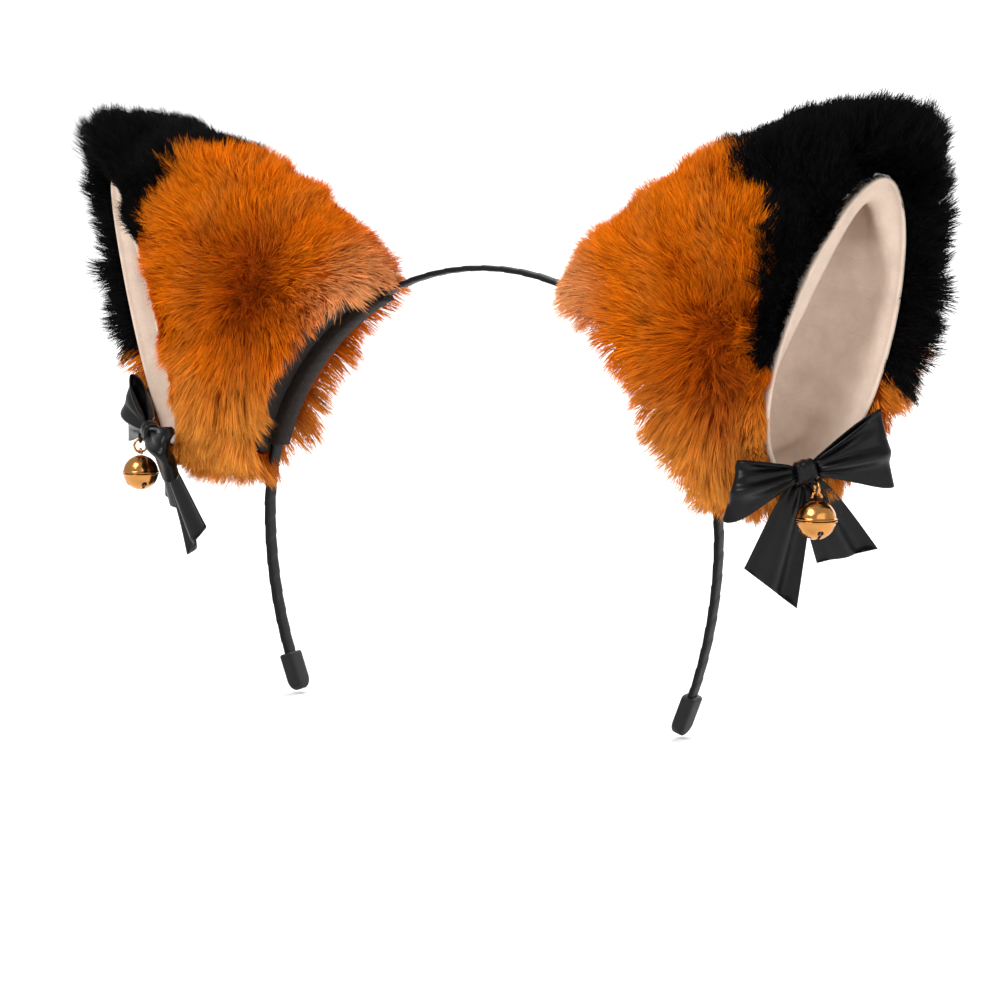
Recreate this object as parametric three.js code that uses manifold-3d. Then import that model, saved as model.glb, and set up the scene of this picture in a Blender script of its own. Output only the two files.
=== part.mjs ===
// Animal ears headband: a thin wrapped spring band that carries two stuffed fur ears,
// each with a fleece lining, a satin bow and a small jingle bell on a ring.
// Millimetres, +Z up. The origin is the underside of the band at its crown. The wearer
// faces -Y, so +X is the wearer's left.

import * as THREE from 'three';
import { mergeVertices } from 'three/addons/utils/BufferGeometryUtils.js';
import { LoftGeometry } from 'three/addons/geometries/LoftGeometry.js';
import Module from 'manifold-3d';

const wasm = await Module();
wasm.setup();

// ---------------------------------------------------------------- driving dimensions

const GAP = 0.3; // clearance between pieces that touch

// Band
const HEAD_RADIUS = 76; // inside of the crown arc
const ARM_DROP = 52; // how far each arm runs below the centre of the crown arc
const ARM_TUCK = 10; // how far each arm curves in over that drop
const STRIP_WIDTH = 4.2;
const STRIP_THICKNESS = 0.7;
const RIBBON_THICKNESS = 0.25;
const RIBBON_SLACK = 0.2; // between the steel strip and the ribbon around it
const ARC_STEPS = 36;
const ARM_STEPS = 6;
const TIP_LENGTH = 12;
const TIP_WALL = 1.1;
const TIP_OVERLAP = 8; // how much of the band goes into a tip

// Seat of an ear on the band: an oval wrapped round the head
const BASE_MIDDLE = 50.5; // degrees down from the crown
const BASE_LENGTH = 84; // along the band
const BASE_DEPTH = 44; // front to back
const BASE_FORWARD = 4; // how far the oval sits in front of the band
const FELT_THICKNESS = 1.5;
const SLEEVE_LENGTH = 64;
const SLEEVE_WALL = 1.2;

// Mouth of an ear, the oval where the lining meets the fur. Its ends are measured from
// the middle of the ear's seat.
const MOUTH_TOP = new THREE.Vector3(67.922, -6.8, 52.568);
const MOUTH_BOTTOM = new THREE.Vector3(44.322, -8.6, -27.932);
const MOUTH_WIDTH = 27.5;
const MOUTH_FACING = 38; // degrees from straight ahead towards the side
const CUP_DEPTH = 26;

// Layers of an ear
const FUR_THICKNESS = 6.3;
const LINING_THICKNESS = 1.6;
const LAYER_GAP = 1; // loose room between fur, filling and lining
const WIRE_RADIUS = 0.6;
const WIRE_SINK = 2.2; // of the wire behind the mouth
const FILLING_SINK = 5.6; // of the filling's rim behind the mouth
const CLOTH_SINK = 1.2; // of the fur cloth's edge behind the mouth

// How far the fur's cloth reaches past the mouth: at the back, the top, the front and the
// foot. The pile stands on it.
const RIM_BACK = 5.2;
const RIM_TOP = 13.2;
const RIM_FRONT = 4.2;
const RIM_FOOT = 3.5;
const RIM_PROUD = 2.5; // of the fur in front of the mouth

// Fur panels
const SEAM_ANGLE = 0.8; // degrees left open on each side of a seam
const COLOUR_GAP = 0.006; // share of the path left open on each side of a colour change
const COLOUR_START = 0.52; // where the dark tip starts, along the ridge from band to mouth
const BACK_COLOUR_END = -11; // degrees round the mouth
const FRONT_COLOUR_END = { left: 196, right: 156 };
const COLOUR_BEND = 0.85;
const DARK_POINT = 5; // degrees cut from the sharp end of a dark panel
const PANEL_STEP = 12; // degrees round the mouth
const PATH_STEPS = 8;

// Bow
const BOW_CLEAR = 1.8; // the knot stands in front of the mouth by this and the bell's radius
const BOW_RAISE = 4; // of the knot above the foot of the mouth
const BOW_TILT = 15; // degrees
const KNOT_LENGTH = 6;
const KNOT_HEIGHT = 6.5;
const KNOT_THICKNESS = 5.4;
const OUTER_LOOP = { way: 1, length: 23.5, height: 22, slant: -4 };
const INNER_LOOP = { way: -1, length: 21, height: 17, slant: -26 };
const LOOP_PUFF = 7;
const SATIN_THICKNESS = 0.6;
const PINCH_HEIGHT = 4.6;
const TAIL_WIDTH = 16.5;
const TAIL_LEAN = 0.32; // how much a tail falls back for each step down
const TAIL_CLEAR = 1.2; // from the knot to the start of a tail
// A tail starts ahead of the back of the bell, and falls away from it as it leans.
const OUTER_TAIL = { slant: -57, length: 30, ahead: 0.5 };
const INNER_TAIL = { slant: -99, length: 34.5, ahead: 1.3 };

// Bell
const PENDANT_FORWARD = 2.4; // of the stitch from the middle of the knot
const PENDANT_ASIDE = 2.6; // of the stitch to the outer side of the knot
const PENDANT_DROP = 3.4; // of the stitch's foot below the middle of the knot
const LINK_GAP = 0.15; // between linked wires
const STITCH_RADIUS = 1.2;
const STITCH_LEG = 1.6;
const STAPLE_LEG = 0.3;
const THREAD_RADIUS = 0.35;
const RING_RADIUS = 2.0;
const RING_WIRE = 0.4;
const BELL_RADIUS = 5.5;
const BELL_WALL = 0.4;
const SEAM_PROUD = 0.35; // of the crimped seam round the bell's middle
const SEAM_HEIGHT = 0.5;
const SLIT_WIDTH = 0.9;
const SLIT_HOLE_RADIUS = 0.9;
const SLIT_REACH = 52; // degrees from the bottom of the bell to each slit's end
const STAPLE_RADIUS = 1.3;
const PELLET_RADIUS = 1.6;

// ---------------------------------------------------------------- colours

function finish(colour, roughness, metalness = 0) {
  return new THREE.MeshStandardMaterial({ color: colour, roughness, metalness });
}

const FINISH = {
  steel: finish(0x8a8d90, 0.35, 1),
  ribbon: finish(0x16161a, 0.7),
  tip: finish(0x1a1a1c, 0.6),
  orangeFur: finish(0xc96512, 0.95),
  blackFur: finish(0x0d0d0f, 0.95),
  fleece: finish(0xdccabb, 0.95),
  filling: finish(0xf0eeea, 1),
  felt: finish(0x2a211c, 1),
  satin: finish(0x101014, 0.45),
  gold: finish(0xd8932e, 0.25, 1),
  thread: finish(0x121214, 0.9),
};

// ---------------------------------------------------------------- helpers

const rad = THREE.MathUtils.degToRad;
const { sin, cos, sqrt, pow, abs, PI } = Math;

function along(start, direction, distance) {
  return start.clone().addScaledVector(direction, distance);
}

function mix(from, to, share) {
  return from + (to - from) * share;
}

function range(from, to, steps) {
  return Array.from({ length: steps + 1 }, (_, i) => mix(from, to, i / steps));
}

// Triangles that fill a closed section of an even number of points, as rungs between
// its first half and its second, wound the way its points run.
function capFaces(count) {
  return Array.from({ length: count / 2 - 1 }, (_, i) => {
    const far = count - 1 - i;
    return [[i, i + 1, far - 1], [i, far - 1, far]];
  }).flat();
}

// A solid skinned over closed sections, with its ends filled unless they meet.
function loft(sections, caps = true) {
  const skin = new LoftGeometry(sections);
  const index = [...skin.getIndex().array];
  if (caps) {
    const last = (sections.length - 1) * (sections[0].length + 1);
    for (const [i, j, k] of capFaces(sections[0].length)) {
      index.push(k, j, i, last + i, last + j, last + k);
    }
  }
  const solid = new THREE.BufferGeometry();
  solid.setAttribute('position', skin.getAttribute('position'));
  solid.setIndex(index);
  return outward(solid);
}

// Six times the volume, negative when the faces point inwards.
function signedVolume(geometry) {
  const at = geometry.getAttribute('position');
  const index = geometry.getIndex();
  const [a, b, c] = [new THREE.Vector3(), new THREE.Vector3(), new THREE.Vector3()];
  let sum = 0;
  for (let i = 0; i < index.count; i += 3) {
    a.fromBufferAttribute(at, index.getX(i));
    b.fromBufferAttribute(at, index.getX(i + 1));
    c.fromBufferAttribute(at, index.getX(i + 2));
    sum += a.dot(b.cross(c));
  }
  return sum;
}

function outward(geometry) {
  if (signedVolume(geometry) < 0) geometry.getIndex().array.reverse();
  geometry.computeVertexNormals();
  return geometry;
}

// The same shape on the other side of the YZ plane.
function mirrored(geometry) {
  return outward(geometry.clone().scale(-1, 1, 1));
}

function toSolid(geometry) {
  const bare = geometry.clone();
  bare.deleteAttribute('normal');
  bare.deleteAttribute('uv');
  const merged = mergeVertices(bare, 1e-4);
  const corners = merged.getIndex().array;
  const faces = [];
  for (let i = 0; i < corners.length; i += 3) {
    const face = [corners[i], corners[i + 1], corners[i + 2]];
    if (new Set(face).size === 3) faces.push(...face);
  }
  return new wasm.Manifold(new wasm.Mesh({
    numProp: 3,
    vertProperties: new Float32Array(merged.getAttribute('position').array),
    triVerts: new Uint32Array(faces),
  }));
}

function fromSolid(solid) {
  const mesh = solid.getMesh();
  const geometry = new THREE.BufferGeometry();
  geometry.setAttribute('position', new THREE.BufferAttribute(mesh.vertProperties, 3));
  geometry.setIndex(new THREE.BufferAttribute(mesh.triVerts, 1));
  geometry.computeVertexNormals();
  return geometry;
}

function cut(body, ...tools) {
  return fromSolid(tools.reduce((rest, tool) => rest.subtract(toSolid(tool)), toSolid(body)));
}

// ---------------------------------------------------------------- band

const CROWN_STEP = PI / 2 / (ARC_STEPS / 2); // the crown facet is half a step each way
const CROWN_CENTRE = new THREE.Vector3(0, 0, -HEAD_RADIUS * cos(CROWN_STEP / 2));
const ARM_RADIUS = (ARM_DROP ** 2 + ARM_TUCK ** 2) / (2 * ARM_TUCK);
const ARM_ANGLE = Math.asin(ARM_DROP / ARM_RADIUS);
const WRAP_THICKNESS = STRIP_THICKNESS + 2 * (RIBBON_SLACK + RIBBON_THICKNESS);
const WRAP_WIDTH = STRIP_WIDTH + 2 * (RIBBON_SLACK + RIBBON_THICKNESS);
const BAND_OUTSIDE = HEAD_RADIUS + WRAP_THICKNESS;

// A point on the right-hand half of the band's inside face, and the outward direction
// there. Angles up to 90 degrees are on the crown arc, and past it on the arm.
function bandPlace(angle) {
  if (angle <= PI / 2) {
    const out = new THREE.Vector3(sin(angle), 0, cos(angle));
    return { at: along(CROWN_CENTRE, out, HEAD_RADIUS), out };
  }
  const turn = ((angle - PI / 2) / (PI / 2)) * ARM_ANGLE;
  const out = new THREE.Vector3(cos(turn), 0, -sin(turn));
  const centre = new THREE.Vector3(HEAD_RADIUS - ARM_RADIUS, 0, CROWN_CENTRE.z);
  return { at: along(centre, out, ARM_RADIUS), out };
}

// Angle at which the arm has a given length left to its end.
function armAngle(left) {
  return PI / 2 + (PI / 2) * (1 - left / (ARM_RADIUS * ARM_ANGLE));
}

function bandAngles(last) {
  const crown = range(CROWN_STEP / 2, PI / 2, ARC_STEPS / 2);
  const arm = range(PI / 2, last, ARM_STEPS).slice(1);
  const half = [...crown, ...arm];
  return [...half.toReversed().map((angle) => -angle), ...half];
}

// A flat bar that follows the band, from a depth above its inside face to another.
function bandBar(low, high, width, last) {
  const sections = bandAngles(last).map((angle) => {
    const { at, out } = bandPlace(abs(angle));
    const corners = [[low, -1], [high, -1], [high, 1], [low, 1]];
    return corners.map(([height, side]) => {
      const corner = along(at, out, height);
      corner.y += (side * width) / 2;
      if (angle < 0) corner.x = -corner.x;
      return corner;
    });
  });
  return loft(sections);
}

// The crown facet is level, so that the band rests on a flat there.
function bandPieces() {
  const stripLow = RIBBON_THICKNESS + RIBBON_SLACK;
  const stripEnd = armAngle(GAP);
  const wrapEnd = armAngle(0);
  const boreLow = RIBBON_THICKNESS;
  const boreHigh = WRAP_THICKNESS - RIBBON_THICKNESS;
  const boreWidth = WRAP_WIDTH - 2 * RIBBON_THICKNESS;
  const boreEnd = armAngle(-1);
  return {
    band_spring: bandBar(stripLow, stripLow + STRIP_THICKNESS, STRIP_WIDTH, stripEnd),
    band_wrap: cut(
      bandBar(0, WRAP_THICKNESS, WRAP_WIDTH, wrapEnd),
      bandBar(boreLow, boreHigh, boreWidth, boreEnd),
    ),
  };
}

// A rounded cap over the end of an arm, with a flat inside face and a socket.
function bandTip() {
  const width = WRAP_WIDTH + 2 * (GAP + TIP_WALL);
  const depth = WRAP_THICKNESS + 2 * (GAP + TIP_WALL);
  const outline = new THREE.Shape();
  outline.moveTo(-width / 2, TIP_LENGTH);
  outline.lineTo(-width / 2, width / 2);
  outline.absarc(0, width / 2, width / 2, PI, 2 * PI);
  outline.lineTo(width / 2, TIP_LENGTH);
  const body = new THREE.ExtrudeGeometry(outline, {
    depth, bevelEnabled: false, curveSegments: 6,
  });
  const socket = new THREE.BoxGeometry(
    WRAP_WIDTH + 2 * GAP, TIP_OVERLAP + GAP, WRAP_THICKNESS + 2 * GAP,
  );
  socket.translate(0, TIP_LENGTH - (TIP_OVERLAP + GAP) / 2 + 0.01, depth / 2);
  // Outline X runs along Y, outline Y up the arm and the extrusion outwards.
  const { at, out } = bandPlace(armAngle(TIP_OVERLAP / 2));
  const up = new THREE.Vector3().crossVectors(out, new THREE.Vector3(0, 1, 0));
  const place = new THREE.Matrix4().makeBasis(new THREE.Vector3(0, 1, 0), up, out);
  const rise = TIP_LENGTH - TIP_OVERLAP / 2;
  place.setPosition(along(along(at, out, -(GAP + TIP_WALL)), up, -rise));
  return cut(body, socket).applyMatrix4(place);
}

// ---------------------------------------------------------------- ear surfaces

// Every layer of an ear is a set of rings. A ring angle of 0 is the back of the mouth,
// 90 its top, 180 its front and 270 its foot, and the seat has the same angles.

const MOUTH = (() => {
  const seat = seatPoint(0, BASE_DEPTH / 2, BAND_OUTSIDE);
  const centre = MOUTH_TOP.clone().add(MOUTH_BOTTOM).multiplyScalar(0.5).add(seat);
  const up = MOUTH_TOP.clone().sub(MOUTH_BOTTOM);
  const halfLength = up.length() / 2;
  up.normalize();
  const facing = rad(MOUTH_FACING);
  const back = new THREE.Vector3(cos(facing), sin(facing), 0);
  back.addScaledVector(up, -back.dot(up)).normalize();
  const front = new THREE.Vector3().crossVectors(back, up);
  return { centre, up, back, front, halfLength, halfWidth: MOUTH_WIDTH / 2 };
})();

// A point of the mouth's oval, a distance outside it and a height in front of it. The
// oval is fuller low down and narrower near the tip.
function mouthPoint(angle, outside = 0, height = 0) {
  const taper = 1 - 0.18 * sin(angle);
  const across = (MOUTH.halfWidth * taper + outside) * cos(angle);
  const upward = (MOUTH.halfLength + outside) * sin(angle);
  const point = along(along(MOUTH.centre, MOUTH.back, across), MOUTH.up, upward);
  return point.addScaledVector(MOUTH.front, height);
}

// A point of the seat's oval, shrunk by an inset or by a share, at a radius from the
// middle of the head.
function seatPoint(angle, inset, radius, share = 1) {
  const half = (BASE_LENGTH / 2 - inset) * share;
  const down = rad(BASE_MIDDLE) - (half * sin(angle)) / BAND_OUTSIDE;
  const y = (BASE_DEPTH / 2 - inset) * share * cos(angle) - BASE_FORWARD;
  return new THREE.Vector3(
    radius * sin(down), y, CROWN_CENTRE.z + radius * cos(down),
  );
}

// Value that runs smoothly through four given ones at the back, top, front and foot.
function around(angle, back, top, front, foot) {
  const sideways = cos(angle) > 0 ? back : front;
  const lengthways = sin(angle) > 0 ? top : foot;
  return mix(sideways, lengthways, pow(abs(sin(angle)), 2.8));
}

// The skin of an ear leaves the seat square to the head and bends over to the mouth,
// where it ends at a height in front of the oval.
function skinPath(angle, inset, radius, height) {
  const start = seatPoint(angle, inset, radius);
  const cloth = around(angle, RIM_BACK, RIM_TOP, RIM_FRONT, RIM_FOOT);
  const past = cloth + FUR_THICKNESS - inset;
  const end = mouthPoint(angle, past, height);
  const leaving = start.clone().setY(0).sub(CROWN_CENTRE).normalize();
  leaving.y = 0.3 * cos(angle);
  leaving.normalize();
  const arriving = new THREE.Vector3(
    0.9, -0.28 - 0.32 * cos(angle), -0.1 - 0.15 * sin(angle),
  ).normalize();
  const rise = around(angle, 26, 21, 12, 10) - inset / 2;
  const reach = around(angle, 34, 38, 20, 12) - inset / 2;
  return new THREE.CubicBezierCurve3(
    start, along(start, leaving, rise), along(end, arriving, -reach), end,
  );
}

// The visible side of the cup inside the mouth, or a surface a distance behind it. A
// depth share of 0 is the mouth and 1 the bottom of the cup.
function cupPoint(angle, share, behind) {
  const swing = (share * PI) / 2;
  const open = pow(cos(swing), 0.8);
  const depth = (CUP_DEPTH + behind) * sin(swing);
  const across = mouthPoint(angle, behind).sub(MOUTH.centre).multiplyScalar(open);
  const inward = new THREE.Vector3(-0.84, 0.54, -0.04).normalize();
  return along(MOUTH.centre.clone().add(across), inward, depth);
}

// ---------------------------------------------------------------- ear pieces

const FUR_SEAT = BAND_OUTSIDE + GAP;
const FELT_SEAT = FUR_SEAT;
const FELT_INSET = FUR_THICKNESS + 2 * GAP;
const FILLING_SEAT = FELT_SEAT + FELT_THICKNESS + LAYER_GAP / 2;
const FILLING_INSET = FUR_THICKNESS + LAYER_GAP;
const RING_STEPS = 26;
const FLOOR_SHARES = [0.12, 0.34, 0.56, 0.78];

function ring(pointAt) {
  return range(0, 2 * PI, RING_STEPS).slice(0, -1).map(pointAt);
}

// Share of the skin path where the colour changes at an angle round the mouth.
function colourChange(angle, side) {
  const top = PI / 2;
  const end = angle > top ? rad(FRONT_COLOUR_END[side]) : rad(BACK_COLOUR_END);
  const share = Math.min(1, abs((angle - top) / (end - top)));
  return mix(COLOUR_START, 1, pow(share, COLOUR_BEND));
}

// Cross-section of a fur panel at one angle: out along the pile, over the rim where the
// panel reaches it, and back along the cloth.
function furSection(angle, from, to) {
  const pile = skinPath(angle, 0, FUR_SEAT, RIM_PROUD);
  const cloth = skinPath(angle, FUR_THICKNESS, FUR_SEAT, -CLOTH_SINK);
  const shares = range(from, to, PATH_STEPS);
  const outside = shares.map((share) => pile.getPoint(share));
  const inside = shares.map((share) => cloth.getPoint(share)).reverse();
  const [crest, hem] = [outside.at(-1), inside[0]];
  if (to < 1) {
    const ahead = pile.getTangent(to);
    const edge = [0.35, 0.7].map((share) => along(crest.clone().lerp(hem, share), ahead, GAP));
    return [...outside, ...edge, ...inside];
  }
  const lip = mouthPoint(angle, LINING_THICKNESS + GAP, 0);
  const brow = crest.clone().lerp(lip, 0.5).addScaledVector(MOUTH.front, 1.6);
  return [...outside, brow, lip, ...inside];
}

function panelAngles(from, to) {
  return range(from, to, Math.max(3, Math.ceil((to - from) / rad(PANEL_STEP))));
}

function darkAngles(half, side) {
  const seam = rad(SEAM_ANGLE);
  const point = rad(DARK_POINT);
  if (half === 'back') return panelAngles(rad(BACK_COLOUR_END) + point, PI / 2 - seam);
  return panelAngles(PI / 2 + seam, rad(FRONT_COLOUR_END[side]) - point);
}

function darkPanel(half, side) {
  const start = (angle) => colourChange(angle, side) + COLOUR_GAP;
  return loft(darkAngles(half, side).map((angle) => furSection(angle, start(angle), 1)));
}

// The coloured panel runs up to the dark one, and past its end reaches the mouth.
function brightPanel(half, side) {
  const seam = rad(SEAM_ANGLE);
  const beside = darkAngles(half, side);
  const clear = 2 * seam;
  const past = half === 'back'
    ? panelAngles(-PI / 2 + seam, beside[0] - clear)
    : panelAngles(beside.at(-1) + clear, (3 * PI) / 2 - seam);
  const short = (angle) => furSection(angle, 0, colourChange(angle, side) - COLOUR_GAP);
  const full = (angle) => furSection(angle, 0, 1);
  const sections = half === 'back'
    ? [...past.map(full), ...beside.map(short)]
    : [...beside.map(short), ...past.map(full)];
  return loft(sections);
}

function lining() {
  const shares = [0.93, 0.8, 0.62, 0.42, 0.22, 0];
  const behind = shares.map((share) => ring((a) => cupPoint(a, share, LINING_THICKNESS)));
  const seen = shares.toReversed().map((share) => ring((a) => cupPoint(a, share, 0)));
  return loft([...behind, ...seen]);
}

// The filling follows the fur's cloth, from just above the base felt to a depth behind
// the mouth.
function fillingPoint(angle, share) {
  const path = skinPath(angle, FILLING_INSET, FUR_SEAT, -CLOTH_SINK);
  const climb = 3 * path.v0.distanceTo(path.v1);
  const forward = 3 * path.v3.clone().sub(path.v2).dot(MOUTH.front);
  const from = (FILLING_SEAT - FUR_SEAT) / climb;
  const to = 1 - (FILLING_SINK - CLOTH_SINK) / forward;
  return path.getPoint(mix(from, to, share));
}

// The filling takes up the room between the fur, the base felt and the lining.
function filling() {
  const behind = LINING_THICKNESS + LAYER_GAP;
  const floor = FLOOR_SHARES.map((share) => (
    ring((a) => seatPoint(a, FILLING_INSET, FILLING_SEAT + GAP, share))
  ));
  const wall = range(0, 1, 9).map((share) => ring((a) => fillingPoint(a, share)));
  const start = 0.19;
  const cup = [start, 0.4, 0.6, 0.78, 0.93].map((share) => (
    ring((a) => cupPoint(a, share, behind))
  ));
  return loft([...floor, ...wall, ...cup]);
}

// A bendable wire loop stitched in just behind the mouth.
function shapingWire() {
  const behind = LINING_THICKNESS + GAP + WIRE_RADIUS;
  const share = Math.asin(WIRE_SINK / (CUP_DEPTH + behind)) / (PI / 2);
  const sections = range(0, 2 * PI, RING_STEPS).map((angle) => {
    const middle = cupPoint(angle, share, behind);
    const outside = mouthPoint(angle, 1).sub(mouthPoint(angle)).normalize();
    return range(0, 2 * PI, 6).slice(0, -1).map((turn) => (
      along(along(middle, outside, WIRE_RADIUS * cos(turn)), MOUTH.front, WIRE_RADIUS * sin(turn))
    ));
  });
  return loft(sections, false);
}

function baseFelt() {
  const shares = [...FLOOR_SHARES, 1];
  const faces = [FELT_SEAT, FELT_SEAT + FELT_THICKNESS].map((radius) => (
    shares.map((share) => ring((a) => seatPoint(a, FELT_INSET, radius, share)))
  ));
  return loft([...faces[0], ...faces[1].toReversed()]);
}

// A cloth channel under the ear that the band passes through.
function bandSleeve() {
  const half = SLEEVE_LENGTH / 2 / BAND_OUTSIDE;
  const inner = WRAP_WIDTH / 2 + GAP;
  const outer = inner + SLEEVE_WALL;
  const top = BAND_OUTSIDE;
  const floor = HEAD_RADIUS - GAP;
  const outline = [
    [-outer, top], [-outer, floor - SLEEVE_WALL], [outer, floor - SLEEVE_WALL], [outer, top],
    [inner, top], [inner, floor], [-inner, floor], [-inner, top],
  ];
  const middle = rad(BASE_MIDDLE);
  const sections = range(middle - half, middle + half, 16).map((angle) => (
    outline.map(([y, radius]) => new THREE.Vector3(
      radius * sin(angle), y, CROWN_CENTRE.z + radius * cos(angle),
    ))
  ));
  return loft(sections);
}

// ---------------------------------------------------------------- bow

// The bow sits at the foot of the mouth. Its own axes are along its loops, up, and out
// of its face.
const BOW = (() => {
  const out = new THREE.Vector3(sin(rad(MOUTH_FACING)), -cos(rad(MOUTH_FACING)), 0);
  const level = new THREE.Vector3(cos(rad(MOUTH_FACING)), sin(rad(MOUTH_FACING)), 0);
  const span = level.clone().multiplyScalar(cos(rad(BOW_TILT)));
  span.z += sin(rad(BOW_TILT));
  const up = new THREE.Vector3().crossVectors(out, span);
  const at = mouthPoint(-PI / 2, -BOW_RAISE, BELL_RADIUS + BOW_CLEAR);
  return { at, out, level, span, up };
})();

function bowPoint(span, up, out) {
  const point = along(along(BOW.at, BOW.span, span), BOW.up, up);
  return point.addScaledVector(BOW.out, out);
}

// Ribbon cross-section: a width along one direction and a thickness across it.
function ribbonSection(at, wide, thick, width) {
  return [[-1, -1], [1, -1], [1, 1], [-1, 1]].map(([side, face]) => (
    along(along(at, wide, (side * width) / 2), thick, (face * SATIN_THICKNESS) / 2)
  ));
}

// One loop: a ribbon that leaves the knot, opens out, folds at its end and comes back.
// Its width is at a slant to the bow's up direction where it is fully open.
function bowLoop({ way, length, height, slant }) {
  const start = KNOT_LENGTH / 2 + GAP;
  const sections = range(0, PI, 14).map((turn) => {
    const opened = pow(sin(turn), 0.8);
    const puff = LOOP_PUFF * (0.16 + 0.84 * pow(sin(turn), 0.6)) * cos(turn);
    const at = bowPoint(way * mix(start, length, opened), 0, puff / 2);
    const wide = BOW.up.clone().applyAxisAngle(BOW.out, rad(slant) * opened);
    const outwards = new THREE.Vector3().crossVectors(wide, BOW.out);
    const normal = along(
      BOW.out.clone().multiplyScalar(cos(turn)), outwards, way * sin(turn),
    ).normalize();
    return ribbonSection(at, wide, normal, mix(PINCH_HEIGHT, height, opened));
  });
  return loft(sections);
}

// One tail: a ribbon that hangs from under the knot, at a slant from level.
function bowTail({ slant, length, ahead }) {
  const run = BOW.level.clone().multiplyScalar(cos(rad(slant)));
  run.z += sin(rad(slant));
  const wide = new THREE.Vector3().crossVectors(BOW.out, run);
  const start = KNOT_HEIGHT / 2 + TAIL_CLEAR;
  const behind = BELL_RADIUS - PENDANT_FORWARD - ahead;
  const sections = range(0, 1, 6).map((share) => {
    const reach = mix(start, length, share);
    const at = along(BOW.at, run, reach);
    at.addScaledVector(BOW.out, -behind - TAIL_LEAN * (reach - start));
    return ribbonSection(at, wide, BOW.out, mix(PINCH_HEIGHT, TAIL_WIDTH, pow(share, 0.7)));
  });
  return loft(sections);
}

// The band of ribbon pulled round the middle of the bow, a little fuller in its middle.
function bowKnot() {
  const sections = range(-1, 1, 4).map((share) => {
    const full = 1 - 0.14 * share ** 2;
    return range(0, 2 * PI, 12).slice(0, -1).map((turn) => {
      const up = ((full * KNOT_HEIGHT) / 2) * roundedShare(cos(turn));
      const out = ((full * KNOT_THICKNESS) / 2) * roundedShare(sin(turn));
      return bowPoint((share * KNOT_LENGTH) / 2, up, out);
    });
  });
  return cut(loft(sections), stitch(THREAD_RADIUS + GAP, GAP));
}

// Squares off a circle a little.
function roundedShare(value) {
  return Math.sign(value) * pow(abs(value), 0.75);
}

// ---------------------------------------------------------------- bell

// The pendant hangs at the bottom of the thread stitch. Its own X runs level across the
// bow's face and its own Y away from the viewer of the bow.
const PENDANT = (() => {
  const at = bowPoint(0, 0, PENDANT_FORWARD).addScaledVector(BOW.level, PENDANT_ASIDE);
  at.z -= PENDANT_DROP;
  return new THREE.Matrix4().makeRotationZ(rad(MOUTH_FACING)).setPosition(at);
})();

const HOOK = RING_WIRE + THREAD_RADIUS + LINK_GAP; // stitch middle to ring-wire middle
const RING_FOOT = HOOK - 2 * RING_RADIUS; // height of the wire at the ring's bottom
const STAPLE_TOP = RING_FOOT + 2 * RING_WIRE + LINK_GAP;
const STAPLE_FOOT = STAPLE_TOP - STAPLE_RADIUS - STAPLE_LEG;
const BELL_MIDDLE = STAPLE_FOOT - GAP - BELL_RADIUS;

// A round wire bent into a U that stands in the pendant's XZ plane. Its bend is at the
// top or the bottom, and its legs run the other way.
function hoop({ radius, wire, leg, bend, height }) {
  const arc = range(0, PI, 6).map((turn) => ({
    at: new THREE.Vector3(-radius * cos(turn), 0, bend * radius * sin(turn)),
    side: new THREE.Vector3(-cos(turn), 0, bend * sin(turn)),
  }));
  const legAt = (end) => ({ at: along(end.at, new THREE.Vector3(0, 0, -bend), leg), side: end.side });
  const path = [legAt(arc[0]), ...arc, legAt(arc.at(-1))];
  const sections = path.map(({ at, side }) => (
    range(0, 2 * PI, 6).slice(0, -1).map((turn) => {
      const point = along(at, side, wire * cos(turn));
      return point.add(new THREE.Vector3(0, wire * sin(turn), height));
    })
  ));
  return loft(sections);
}

// The thread that ties the pendant to the knot, or a cutter for its way in.
function stitch(wire, extra) {
  const thread = hoop({
    radius: STITCH_RADIUS, wire, leg: STITCH_LEG + extra, bend: -1, height: STITCH_RADIUS,
  });
  return thread.applyMatrix4(PENDANT);
}

function jumpRing() {
  const ringShape = new THREE.TorusGeometry(RING_RADIUS, RING_WIRE, 6, 18);
  return ringShape.rotateY(PI / 2).translate(0, 0, HOOK - RING_RADIUS);
}

function bellStaple() {
  return hoop({
    radius: STAPLE_RADIUS, wire: RING_WIRE, leg: STAPLE_LEG, bend: 1,
    height: STAPLE_TOP - STAPLE_RADIUS,
  });
}

// Half of the bell: a dome with a seam flange at its rim.
function bellDome() {
  const inside = BELL_RADIUS - BELL_WALL;
  const profile = [
    ...range(0, PI / 2, 5).slice(0, -1).map((turn) => (
      new THREE.Vector2(inside * sin(turn), inside * cos(turn))
    )),
    new THREE.Vector2(inside, GAP / 2),
    new THREE.Vector2(BELL_RADIUS + SEAM_PROUD, GAP / 2),
    new THREE.Vector2(BELL_RADIUS + SEAM_PROUD, SEAM_HEIGHT),
    ...range(PI / 2 - SEAM_HEIGHT / BELL_RADIUS - 0.06, 0, 5).map((turn) => (
      new THREE.Vector2(BELL_RADIUS * sin(turn), BELL_RADIUS * cos(turn))
    )),
  ];
  return outward(new THREE.LatheGeometry(profile, 16).rotateX(PI / 2));
}

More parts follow.
